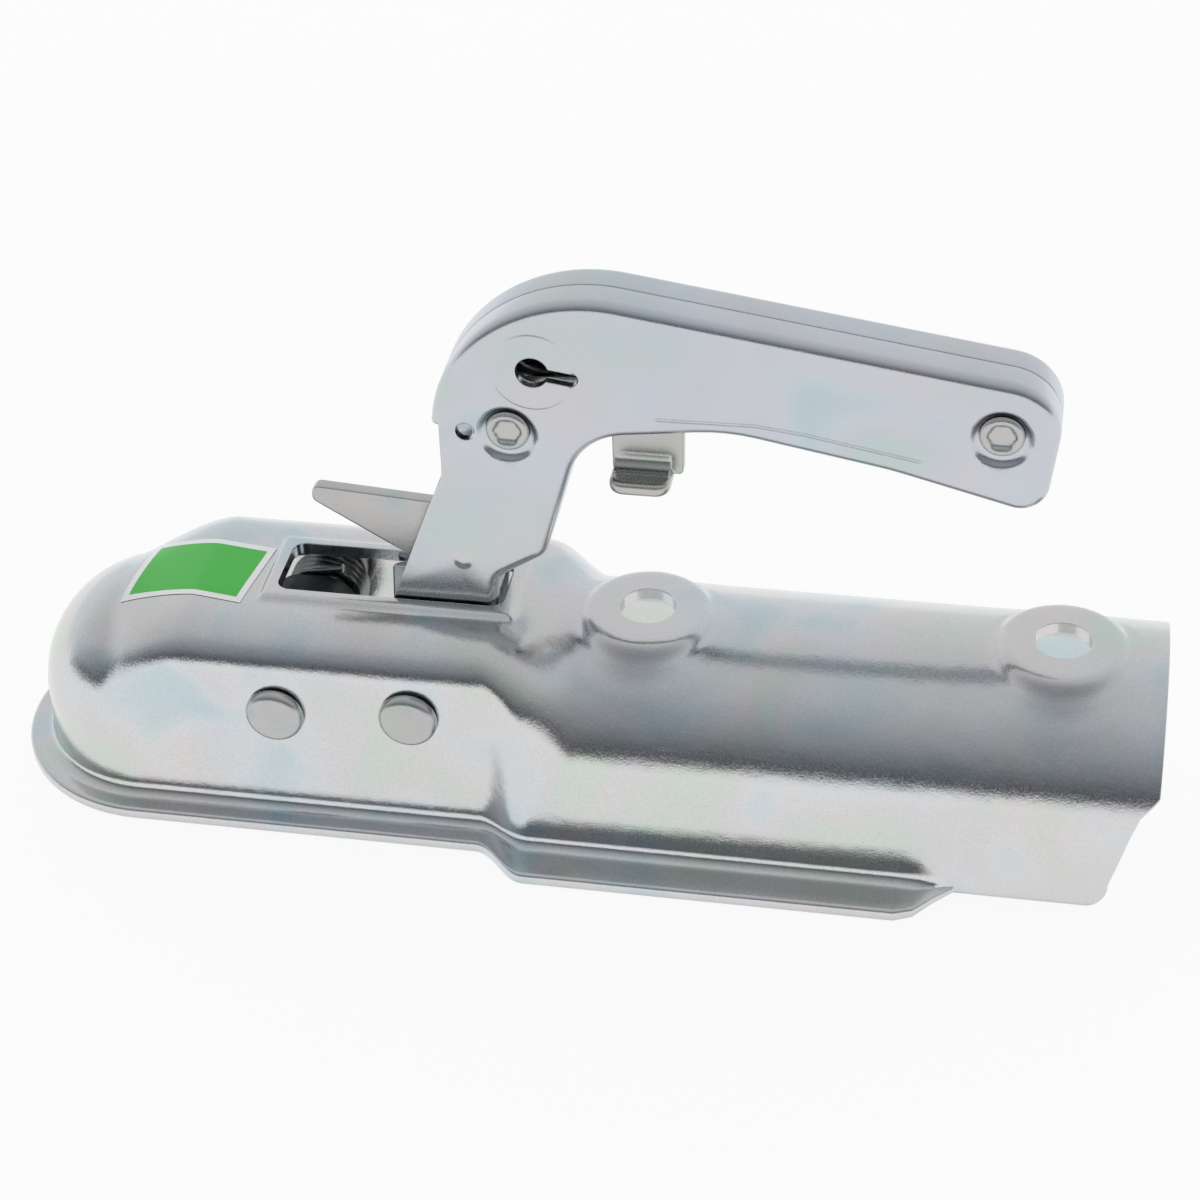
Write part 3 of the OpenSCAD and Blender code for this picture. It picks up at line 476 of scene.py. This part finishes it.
# Handle: two mirror-image halves of pressed 2 mm steel, set back to back so that their folded rims meet on a
# seam. Each is a flat cheek with a rim of 2.6 mm radius, pressed dimples around the rivets, a hanging keyhole and
# a vent hole. The foot at the bottom has no rim, and holds the cam between two flat cheeks.
grip_y, grip_t, grip_r, grip_len, seam_r, seam_y, rim_in = 8.0, 2.0, 2.6, 92, 0.35, 0.02, 0.35
pivot, bend, bend_r, slope = (64.4, 32.0), (103.8, 91.8), 35.2, math.radians(8.7)
trigger_c, tail_c, rivet_hole = (85.2, 94.5), (187.1, 102.0), 3.02
cam_rivet_c, bush_hole = (70.4, 46.0), 7.1
key_c, key_r, key_slot_r, key_reach = (91.3, 110.1), 3.5, 1.5, 8.2
vent_c, vent_r = (76.3, 94.2), 2.1
dimple_deep, dimple_flat, dimple_r, dimple_sag = 1.6, 4.9, 7.2, 0.12
boss_r, boss_high, boss_soft = 9.2, 0.35, 0.7
pip_c, pip_r, pip_high = (73.9, 60.8), 2.5, 0.5
groove_x, groove_z, groove_deep = (115.0, 137.0, 147.0, 172.4), (100.5, 100.8, 99.6, 94.7), 0.2
pad_x, pad_len, pad_z = 106.2, 13.0, 84.4


def corner_arc(a, b, c, r, step=5.0):
    """Points round the corner b of a line from a to c, with the radius r."""
    a, b, c = (np.array(p[:2], float) for p in (a, b, c))
    u, v = (a - b) / np.linalg.norm(a - b), (c - b) / np.linalg.norm(c - b)
    half_turn = math.acos(u @ v) / 2
    m = b + (u + v) / np.linalg.norm(u + v) * r / math.sin(half_turn)
    p = b + u * r / math.tan(half_turn) - m
    sweep = (math.pi - 2 * half_turn) * (1 if u[0] * v[1] - u[1] * v[0] > 0 else -1)
    w = -sweep * np.linspace(0, 1, max(2, math.ceil(abs(math.degrees(sweep)) / step)) + 1)
    return m + np.stack([p[0] * np.cos(w) - p[1] * np.sin(w), p[0] * np.sin(w) + p[1] * np.cos(w)], 1)


def corner_run(corners, step=5.0):
    """A line round a list of corners (x, z, radius), without its two ends."""
    return np.concatenate([corner_arc(a, b, c, b[2], step) for a, b, c in zip(corners, corners[1:], corners[2:])])


def rounded_outline(corners, step=5.0):
    return corner_run([corners[-1]] + corners + [corners[0]], step)


def inset(loop, d):
    """A clockwise outline moved inwards by d."""
    e = loop - np.roll(loop, 1, 0)
    f = np.roll(loop, -1, 0) - loop
    e /= np.linalg.norm(e, axis=1)[:, None]
    f /= np.linalg.norm(f, axis=1)[:, None]
    g = e + f
    g /= np.linalg.norm(g, axis=1)[:, None]
    return loop + np.stack([g[:, 1], -g[:, 0]], 1) * d / (g * f).sum(1)[:, None]


top = (bend[0] + bend_r * math.sin(slope), bend[1] + bend_r * math.cos(slope))
tip = (top[0] + grip_len * math.cos(slope), top[1] - grip_len * math.sin(slope))
over = arc(bend[0], bend[1], bend_r, 172, 90 - math.degrees(slope), 34)
side = np.concatenate([over, corner_run([
    tuple(over[-1]), (tip[0], tip[1], 12), (tip[0] - 3.6, tip[1] - 30, 6), (bend[0] + 61.2, bend[1] - 0.5, 60),
    (bend[0] + 27.2, bend[1] + 6.0, 40), (bend[0] - 3.0, bend[1] + 2.2, 14), (pivot[0] + 27.5, pivot[1] + 31, 5),
    (pivot[0] + 17.2, pivot[1] + 24.2, 4), (pivot[0] + 16, pivot[1] + 12, 14),
    (pivot[0] + 12, pivot[1] - 12, 11.6), (pivot[0] - 12, pivot[1] - 12, 11.6),
    (pivot[0] - 10.4, pivot[1] + 19, 14), (pivot[0] + 2.4, pivot[1] + 48, 30),
    tuple(over[0])])])


def circle(c, r, steps):
    return arc(c[0], c[1], r, 0, 360, steps)[:-1]


def inside(loop, p):
    a, b = loop, np.roll(loop, -1, 0)
    crosses = (a[:, 1] > p[1]) != (b[:, 1] > p[1])
    ahead = p[0] < (b[:, 0] - a[:, 0]) * (p[1] - a[:, 1]) / (b[:, 1] - a[:, 1] + 1e-12) + a[:, 0]
    return (crosses & ahead).sum() % 2 == 1


def flat_fill(rim, holes, rings):
    """Triangles over the rim's inside without its holes; rings only add points. Gives points and faces."""
    verts, edges = [], []
    for loop in [rim] + holes + rings:
        start = len(verts)
        verts += [Vector(p) for p in loop]
        edges += [(start + i, start + (i + 1) % len(loop)) for i in range(len(loop))]
    flat, _, tris = delaunay_2d_cdt(verts, edges, [], 0, 1e-5)[:3]
    flat = np.array([tuple(v) for v in flat])
    middles = [flat[list(t)].mean(0) for t in tris]
    return flat, [t for t, p in zip(tris, middles)
                  if inside(rim, p) and not any(inside(hole, p) for hole in holes)]


def arc_from_key(c, r, a0, a1, steps):
    """An arc in the keyhole's own directions, along the grip and across it."""
    along, across = np.array([math.cos(slope), -math.sin(slope)]), np.array([math.sin(slope), math.cos(slope)])
    return [np.array(key_c) + c * along + r * (math.cos(a) * along + math.sin(a) * across)
            for a in np.linspace(a0, a1, steps)]


mouth = math.asin(key_slot_r / key_r)
keyhole = np.array(arc_from_key(0, key_r, mouth, math.tau - mouth, 40) +
                   arc_from_key(key_reach, key_slot_r, -math.pi / 2, math.pi / 2, 14))
groove_line = np.linspace(groove_x[0], groove_x[-1], 60)
groove_line = np.stack([groove_line, np.interp(groove_line, groove_x, groove_z)], 1)
handle_holes = [circle(trigger_c, rivet_hole, 48), circle(tail_c, rivet_hole, 48)]
handle_holes += [keyhole, circle(vent_c, vent_r, 32)]
handle_rings = [circle(c, r, 64) for c in (trigger_c, tail_c) for r in (4.9, 5.4, 5.9, 6.4, 6.9, 7.4)]
handle_rings += [circle(key_c, boss_r + r, 64) for r in (-1.0, -0.7, -0.35, 0, 0.3)]
handle_rings += [circle(pip_c, r, 24) for r in (0.5, 1.0, 1.5, 2.0, 2.5)]
handle_rings += [np.concatenate([groove_line + (0, w), (groove_line - (0, w))[::-1]])
                 for w in (0.06, 0.2, 0.34, 0.48)]


def from_point(p, c):
    return np.hypot(p[:, 0] - c[0], p[:, 1] - c[1])


def pressed(p):
    """How deep the cheek is pressed in at a point: full around the two rivets, easing out to the flat, a little
    along the groove in the grip, and less than nothing on the low round boss around the keyhole and on the small
    pip over the foot."""
    near = np.minimum(*[from_point(p, c) + dimple_sag * np.minimum(p[:, 1] - c[1], 3)
                        for c in (trigger_c, tail_c)])
    dimple = 1 - rise(near, dimple_flat, dimple_r)
    boss = 1 - rise(from_point(p, key_c), boss_r - boss_soft, boss_r)
    pip = 1 - rise(from_point(p, pip_c), 0.4, pip_r)
    off_line = abs(p[:, 1] - np.interp(p[:, 0], groove_x, groove_z))
    run_in, run_out = rise(p[:, 0], groove_x[0], groove_x[0] + 2), rise(p[:, 0], groove_x[-1] - 1.4, groove_x[-1])
    groove = (1 - rise(off_line, 0.1, 0.45)) * run_in * (1 - run_out)
    return dimple_deep * dimple + groove_deep * groove - (boss_high * boss + pip_high * pip) * (1 - dimple)


def weld(name, parts, sharp=35.0):
    """One mesh from lists of points and faces, with points closer than a micron made one."""
    points, faces = [], []
    for p, f in parts:
        start = len(points)
        points += [tuple(q) for q in p]
        faces += [tuple(start + i for i in face) for face in f]
    key = {}
    index = [key.setdefault(tuple(round(c * 2000) for c in p), len(key)) for p in points]
    kept = [None] * len(key)
    for i, p in zip(index, points):
        kept[i] = p
    tidy = []
    for face in faces:
        corners = [index[i] for i in face]
        corners = [c for m, c in enumerate(corners) if c != corners[m - 1]]
        if len(corners) > 2 and len(set(corners)) == len(corners):
            tidy.append(tuple(corners))
    return mesh_object(name, [((p[0] + nose_x) * mm, p[1] * mm, p[2] * mm) for p in kept], tidy, sharp)


def strips(rows):
    """Quads between closed rows of points, from the first row to the last."""
    m = len(rows[0])
    return np.concatenate(rows), [(i * m + j, (i + 1) * m + j, (i + 1) * m + (j + 1) % m, i * m + (j + 1) % m)
                                  for i in range(len(rows) - 1) for j in range(m)]


def row(loop, y):
    return np.column_stack([loop[:, 0], np.broadcast_to(y, len(loop)), loop[:, 1]])


def handle_half(name, hand):
    """One half: the rim from the inner cheek round the seam to the outer cheek, the two cheeks with their pressed
    forms, the holes' walls, and then the cuts."""
    quarter = np.radians(np.linspace(0, 90, 11))
    in_r, in_y, face_rim = grip_r - grip_t, grip_y - grip_t, inset(side, grip_r + rim_in)
    rows = [row(face_rim, in_y)]
    rows += [row(inset(side, grip_t + in_r * (1 - math.cos(a))), in_y - in_r + in_r * math.sin(a))
             for a in quarter[::-2]]
    rows += [row(inset(side, grip_t), seam_y)]
    rows += [row(inset(side, seam_r * (1 - math.sin(a))), seam_y + seam_r * (1 - math.cos(a)))
             for a in quarter[::2]]
    rows += [row(inset(side, grip_r * (1 - math.cos(a))), grip_y - grip_r + grip_r * math.sin(a))
             for a in quarter]
    rows += [row(face_rim, grip_y)]
    parts = [strips(rows)]
    flat, tris = flat_fill(face_rim, handle_holes, handle_rings)
    depth = pressed(flat)
    parts += [(row(flat, grip_y - depth), tris), (row(flat, in_y - depth), tris)]
    for hole in handle_holes:
        d = pressed(hole)
        parts.append(strips([row(hole, grip_y - d), row(hole, in_y - d)]))
    half = weld(name, [(p * (1, hand, 1), f) for p, f in parts], 40)
    # The mouth in front lets the trigger's blade out, the foot is cut flat inside, the slit takes the finger pad.
    mouth_line = corner_run([(pivot[0] + 6.3, 95.5), (pivot[0] + 6.3, 82.4, 14), (pivot[0] + 2.4, 73.2, 20),
                             (pivot[0] - 6.4, pivot[1] + 18.5)])
    front = [(pivot[0] - 30, 95.5), (pivot[0] + 6.3, 95.5)] + list(mouth_line)
    front += [(pivot[0] - 7.6, pivot[1] + 15), (pivot[0] - 30, pivot[1] + 15)]
    foot = [(pivot[0] + x, pivot[1] + z) for x, z in ((-20, -20), (30, -20), (30, 20.5), (-20, 20.5))]
    slit = [(pad_x - 6.5, 88.0), (pad_x + pad_len + 6, 88.0), (pad_x + pad_len + 6, 102.5), (pad_x - 6.5, 102.5)]
    through = grip_y + 1
    for outline, deep in ((front, through), (foot, in_y), (slit, 3.1), (circle(pivot, bush_hole, 64), through),
                          (circle(cam_rivet_c, rivet_hole, 48), through)):
        cut_across(half, outline, -1.0 * hand, deep * hand)
    smooth(half, 40)
    return half


handle_zinc = zinc_plating("zinc_plated_handle_sheet", "#CFD6DB", "#C6D3DD", "#D6D3D6", 0.2, 30, 0.3, 0.12)
for name, hand in (("handle_left", -1), ("handle_right", 1)):
    half = handle_half(name + "_pressing", hand)
    half.data.materials.append(handle_zinc)
    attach(half, "handle")
    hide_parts(name)


# Pins: turned steel bars, pushed through both walls of the housing and riveted over, so that each end is a flat
# round head with a rounded edge. They are zinc plated like the sheet and a little duller.
def turned(name, c, profile, sharp=35.0):
    """Solid of revolution across the part from a list of (place across, radius, lobes) and the centre c."""
    a = np.radians(np.linspace(0, 360, 97)[:-1])
    rows = []
    for y, r, *lobes in profile:
        radius = r * (1 + (lobes[0] if lobes else 0) * np.cos(6 * a))
        rows.append(np.column_stack([c[0] + radius * np.cos(a), np.full(len(a), y), c[1] + radius * np.sin(a)]))
    return weld(name, [strips(rows)], sharp)


def both_ends(half_profile):
    """A profile from its outer half, mirrored to the other side of the part."""
    return [(-p[0],) + tuple(p[1:]) for p in half_profile[::-1]] + half_profile


def place_piece(piece, node_name, body, material):
    """Gives a piece its material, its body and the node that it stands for."""
    piece.data.materials.clear()
    piece.data.materials.append(material)
    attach(piece, body)
    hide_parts(node_name)


pin_zinc = zinc_plating("zinc_plated_turned_steel", "#C8C9C8", "#C0C4C6", "#CDCBC6", 0.26, 8, 0.25, 0.15)
jaw_pin_c, pin_r, head_r, head_t, head_edge, tiny = (34.3, 30.0), 4.98, 6.5, 2.6, 1.9, 0.001
for name, c in (("jaw_pin", jaw_pin_c), ("handle_pin", pivot)):
    wall, face = dome_r, dome_r + head_t
    head = corner_run([(0.0, pin_r), (wall, pin_r, 0.2), (wall, head_r, 0.3), (face, head_r, head_edge),
                       (face - 0.05, 0.0)], 15)
    half_profile = [(0.0, pin_r)] + [tuple(p) for p in head] + [(face - 0.02, 4.2), (face, tiny)]
    place_piece(turned(name + "_bar", c, both_ends(half_profile)), name, "root", pin_zinc)


# Handle rivets: hollow-ended steel rivets set in the pressed dimples. Setting leaves a raised ring around a soft
# six-sided recess at each end.
shank = [(0.0, 3.0), (6.3, 3.0), (6.42, 3.1), (6.42, 4.3)]
raised_ring = [(6.6, 4.55), (7.0, 4.6), (7.4, 4.45), (7.7, 4.1), (7.8, 3.7), (7.76, 3.35)]
recess = [(7.6, 3.05, 0.02), (7.3, 2.8, 0.045), (6.95, 2.6, 0.05), (6.75, 2.3, 0.05), (6.68, 1.6, 0.03)]
recess += [(6.7, tiny)]
for name, c in (("trigger_rivet", trigger_c), ("tail_rivet", tail_c)):
    rivet = turned(name + "_bar", c, both_ends(shank + raised_ring + recess), 50)
    place_piece(rivet, name, "handle", pin_zinc)


# Sleeves and the cam rivet: cut lengths of turned steel tube and bar, with the sharp edges broken. Each sleeve
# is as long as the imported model's own, and slides over its pin or rivet.
def tube_profile(y0, y1, r_out, r_in, edge=0.3):
    corners = [(y0, r_out, edge), (y1, r_out, edge), (y1, r_in, edge), (y0, r_in, edge)]
    loop = [tuple(p) for p in rounded_outline(corners, 30)]
    return loop + loop[:1]


sleeve_r, sleeve_bore, small_r, small_bore = 7.08, 5.02, 5.02, 3.02
for name, c, r_out, r_in, body in (
        ("jaw_sleeve_left", jaw_pin_c, sleeve_r, sleeve_bore, "root"),
        ("jaw_sleeve_right", jaw_pin_c, sleeve_r, sleeve_bore, "root"),
        ("pivot_sleeve_left", pivot, sleeve_r, sleeve_bore, "root"),
        ("pivot_sleeve_right", pivot, sleeve_r, sleeve_bore, "root"),
        ("trigger_sleeve", trigger_c, small_r, small_bore, "handle"),
        ("tail_sleeve", tail_c, small_r, small_bore, "handle")):
    low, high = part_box(name)
    tube = turned(name + "_tube", c, tube_profile(low[1] / mm, high[1] / mm, r_out, r_in))
    place_piece(tube, name, body, pin_zinc)
rivet_ends = both_ends([(7.7, 3.0), (8.0, 2.7), (8.0, tiny)])
place_piece(turned("cam_rivet_bar", cam_rivet_c, rivet_ends), "cam_rivet", "handle", pin_zinc)


# Pivot bush: sintered bronze pressed into the foot of the handle. It is warm brown with fine open pores.
# The same porous skin, darker and coarser, is used on the castings further down.
def porous_metal(name, tone, dark, metallic, rough, pore_mm, depth_mm):
    metal, tree = blank_material(name)
    place = node(tree, "ShaderNodeTexCoord").outputs["Object"]
    pores = node(tree, "ShaderNodeTexVoronoi", {"Scale": 1 / (pore_mm * mm)}, Vector=place)
    cloud = node(tree, "ShaderNodeTexNoise", {"Scale": 1 / (7 * mm), "Detail": 4.0}, Vector=place)
    colour = blend_stops(tree, cloud.outputs["Fac"], ((0.3, dark), (0.7, tone)), "EASE")
    coarse = node(tree, "ShaderNodeTexNoise",
                  {"Scale": 1 / (2.2 * pore_mm * mm), "Detail": 5.0, "Roughness": 0.65}, Vector=place)
    depth = node(tree, "ShaderNodeMath", {"operation": "ADD"},
                 i0=pores.outputs["Distance"], i1=coarse.outputs["Fac"])
    soft = node(tree, "ShaderNodeBevel", {"samples": 4, "Radius": 0.6 * mm})
    bump = node(tree, "ShaderNodeBump", {"Strength": 0.5, "Distance": depth_mm * mm},
                Height=depth.outputs[0], Normal=soft.outputs["Normal"])
    gloss = node(tree, "ShaderNodeMapRange",
                 {"From Min": 0.3, "From Max": 0.7, "To Min": rough - 0.08, "To Max": rough + 0.1},
                 Value=coarse.outputs["Fac"])
    shade = node(tree, "ShaderNodeBsdfPrincipled", {"Metallic": metallic},
                 Base_Color=colour, Roughness=gloss.outputs["Result"], Normal=bump.outputs["Normal"])
    node(tree, "ShaderNodeOutputMaterial", Surface=shade.outputs[0])
    return metal


bronze = porous_metal("sintered_bronze", "#B5905A", "#7E6138", 1.0, 0.42, 0.35, 0.03)
bush_ring = turned("pivot_bush_ring", pivot, tube_profile(-grip_y, grip_y, sleeve_r, 5.08, 0.25))
place_piece(bush_ring, "pivot_bush", "handle", bronze)


# Trigger: a 3 mm plate stamped to shape, with a blade that reaches out in front for the thumb and a finger pad
# that is folded across it under the grip. Its stamped edges are rounded and it is plated like the rest.
def rounded_edges(outline, z0, z1, edge):
    """Insets and levels that carry an outline from one face to the other over two rounded edges."""
    quarter = np.radians(np.linspace(0, 90, 6))
    lows = [(inset(outline, edge * (1 - math.sin(a))), z0 + edge * (1 - math.cos(a))) for a in quarter]
    return lows + [(inset(outline, edge * (1 - math.cos(a))), z1 - edge * (1 - math.sin(a))) for a in quarter]


def plate_piece(outline, holes, y0, y1, edge):
    """A plate between two planes across the part, with its outer edge rounded."""
    flat_rim = inset(outline, edge + 0.15)
    levels = [(flat_rim, y0)] + rounded_edges(outline, y0, y1, edge) + [(flat_rim, y1)]
    rows = [row(loop, y) for loop, y in levels]
    flat, tris = flat_fill(flat_rim, holes, [])
    walls = [strips([row(hole, y0), row(hole, y1)]) for hole in holes]
    return [strips(rows), (row(flat, y0), tris), (row(flat, y1), tris)] + walls


def capped(rows):
    """Strips with a face over each end."""
    m = len(rows[0])
    points, faces = strips(rows)
    return points, faces + [tuple(range(m)), tuple(range(len(points) - m, len(points)))]


plate_half, hub_hole = 1.5, 5.1
pad_half, pad_corner, pad_t, pad_edge, fillet_r = 8.9, 3.2, 3, 1.2, 3.2
pad_end = pad_x + pad_len
blade = rounded_outline([(trigger_c[0] + x, trigger_c[1] + z, r) for x, z, r in (
    (-45.9, -21.8, 1.9), (-17.5, -23.8, 3), (-9.5, -10, 8), (-8, 8, 7), (10, 9, 5))] + [
    (pad_end + 2.5, trigger_c[1] + 10.6, 3), (pad_end + 2, pad_z - 1.5, 1), (pad_x, pad_z - 1.5, 1),
    (pad_x, trigger_c[1] + 5.4, 3)] + [(trigger_c[0] + x, trigger_c[1] + z, r) for x, z, r in (
        (9, 3.6, 4), (1.5, -9, 7), (-14, -29, 6), (-24, -39.2, 1.2), (-45.9, -25.6, 1.7))], 8.0)
trigger_parts = plate_piece(blade, [circle(trigger_c, hub_hole, 64)], -plate_half, plate_half, 0.4)
pad_plan = rounded_outline([(x, y, pad_corner) for x, y in (
    (pad_x + 0.05, pad_half), (pad_end, pad_half), (pad_end, -pad_half), (pad_x + 0.05, -pad_half))], 10.0)
trigger_parts.append(capped([np.column_stack([loop, np.full(len(loop), z)])
                             for loop, z in rounded_edges(pad_plan, pad_z - pad_t, pad_z, pad_edge)]))
weld_y = plate_half + fillet_r
fillet = [(-weld_y, -0.6), (-weld_y, 0.02)]
fillet += [(-weld_y + fillet_r * math.sin(a), fillet_r - fillet_r * math.cos(a))
           for a in np.radians(np.linspace(8, 90, 9))]
fillet = np.array(fillet + [(-y, z) for y, z in fillet[::-1]])
trigger_parts.append(capped([np.column_stack([np.full(len(fillet), x), fillet[:, 0], pad_z + fillet[:, 1]])
                             for x in (pad_x + 0.6, pad_end - 0.6)]))
trigger_zinc = zinc_plating("zinc_plated_stamped_plate", "#C6C7C5", "#BFC4C6", "#CBC8C2", 0.24, 14, 0.3, 0.15)
place_piece(weld("trigger_plate", trigger_parts), "trigger", "trigger", trigger_zinc)


# Jaw and cam: two castings, phosphated dark, with the rough skin of the mould. The jaw's face is hollowed to the
# ball, and the cam's finger holds it there while the handle is down.
jaw_boss, ball_face, ball_down = 8.4, 25.44, math.radians(27)
jaw_half, jaw_hole, cam_half = 12.0, 5.08, 5.98
jaw_x, jaw_z = jaw_pin_c
jaw_tip = (ball_face * math.cos(ball_down), ball_h - ball_face * math.sin(ball_down))
jaw_back = (jaw_x + jaw_boss - 2.2, ball_h + 2)
jaw_side = rounded_outline([
    (jaw_tip[0] - 0.5, jaw_tip[1] - 0.8, 1.3), (jaw_x - 2 * jaw_boss, jaw_z + 1, 2),
    (jaw_x - 0.7 * jaw_boss, jaw_z + jaw_boss, 0.7 * jaw_boss),
    (jaw_x + 1.15 * jaw_boss, jaw_z + jaw_boss, 0.95 * jaw_boss), (jaw_back[0] + 3, jaw_back[1] + 6, 10),
    (jaw_back[0] - 3, jaw_back[1] - 8, 12), (jaw_tip[0] + 6, jaw_tip[1] - 0.8, 2.5)], 8.0)
jaw = weld("jaw_casting", plate_piece(jaw_side, [circle(jaw_pin_c, jaw_hole, 64)], -jaw_half, jaw_half, 1.0))
round_ball = np.linspace(0, math.tau, 97)[:-1]
rings = [np.column_stack([ball_face * math.sin(t) * np.cos(round_ball),
                          ball_face * math.sin(t) * np.sin(round_ball),
                          np.full(len(round_ball), ball_h + ball_face * math.cos(t))])
         for t in np.linspace(0.02, math.pi - 0.02, 60)]
points, faces = capped(rings)
cut(jaw, [((p[0] + nose_x) * mm, p[1] * mm, p[2] * mm) for p in points], faces)
smooth(jaw, 35)
cast_iron = porous_metal("phosphated_casting", "#6C7072", "#43474A", 0.75, 0.5, 0.8, 0.06)
place_piece(jaw, "jaw", "jaw", cast_iron)
finger = (jaw_back[0] + 4.9, jaw_back[1] - 0.8)
cam_side = rounded_outline([
    (pivot[0] + 11.5, cam_rivet_c[1] + 5, 4), (pivot[0] + 11, pivot[1] - 11, 10.5),
    (pivot[0] - 5, pivot[1] - 11.5, 8), (finger[0] - 2.6, finger[1] - 4.5, 3),
    (finger[0] - 3.4, finger[1] + 3.2, 3), (pivot[0] - 9, pivot[1] + 5, 5),
    (pivot[0] - 3.5, cam_rivet_c[1] + 5, 4)], 8.0)
cam_holes = [circle(pivot, bush_hole, 64), circle(cam_rivet_c, rivet_hole, 48)]
cam = weld("cam_casting", plate_piece(cam_side, cam_holes, -cam_half, cam_half, 0.7))
place_piece(cam, "cam", "handle", cast_iron)


# Springs: drawn steel wire wound round the sleeves, with a straight leg at each end that bears on the part it
# turns. Drawing leaves the wire smooth and grey.
def wire_coil(c, r, wire, y0, y1, turns, start, leg):
    a = start + math.tau * np.linspace(0, turns, 32 * turns + 1)
    helix = np.column_stack([r * np.cos(a), np.linspace(y0, y1, len(a)), r * np.sin(a)])
    first = helix[0] + leg * np.array([math.sin(a[0]), 0, -math.cos(a[0])])
    last = helix[-1] + leg * np.array([-math.sin(a[-1]), 0, math.cos(a[-1])])
    path = np.vstack([first, first + 0.3 * (helix[0] - first), helix, last + 0.3 * (helix[-1] - last), last])
    way = np.gradient(path, axis=0)
    way /= np.linalg.norm(way, axis=1)[:, None]
    out = np.cross(way, (0.0, 1.0, 0.0))
    out /= np.linalg.norm(out, axis=1)[:, None]
    across = np.cross(way, out)
    t = np.linspace(0, math.tau, 13)[:-1, None]
    return [capped([np.array([c[0], 0, c[1]]) + p + wire / 2 * (out[i] * np.cos(t) + across[i] * np.sin(t))
                    for i, p in enumerate(path)])]


spring_steel = zinc_plating("drawn_spring_wire", "#9B9D9E", "#8F9496", "#A19E99", 0.25, 5, 0.15, 0.1)
wire, fine_wire = 1.8, 0.9
coil_r, fine_r = sleeve_r + 0.3 + wire / 2, small_r + 0.2 + fine_wire / 2
jaw_coil = wire_coil(jaw_pin_c, coil_r, wire, jaw_half + wire, jaw_half + wire * 5.2, 4, math.radians(100), 7)
handle_coil = wire_coil(pivot, coil_r, wire, -grip_y - wire * 5.2, -grip_y - wire, 4, math.radians(80), 8)
fine_coil = wire_coil(trigger_c, fine_r, fine_wire, plate_half + 0.7, grip_y - grip_t - dimple_deep - 0.7, 2,
                      math.radians(200), 5)
for name, coil, body in (("jaw_spring", jaw_coil, "root"), ("handle_spring", handle_coil, "root"),
                         ("trigger_spring", fine_coil, "handle")):
    place_piece(weld(name + "_wire", coil, 60), name, body, spring_steel)

bpy.context.scene.view_settings.view_transform = "Standard"
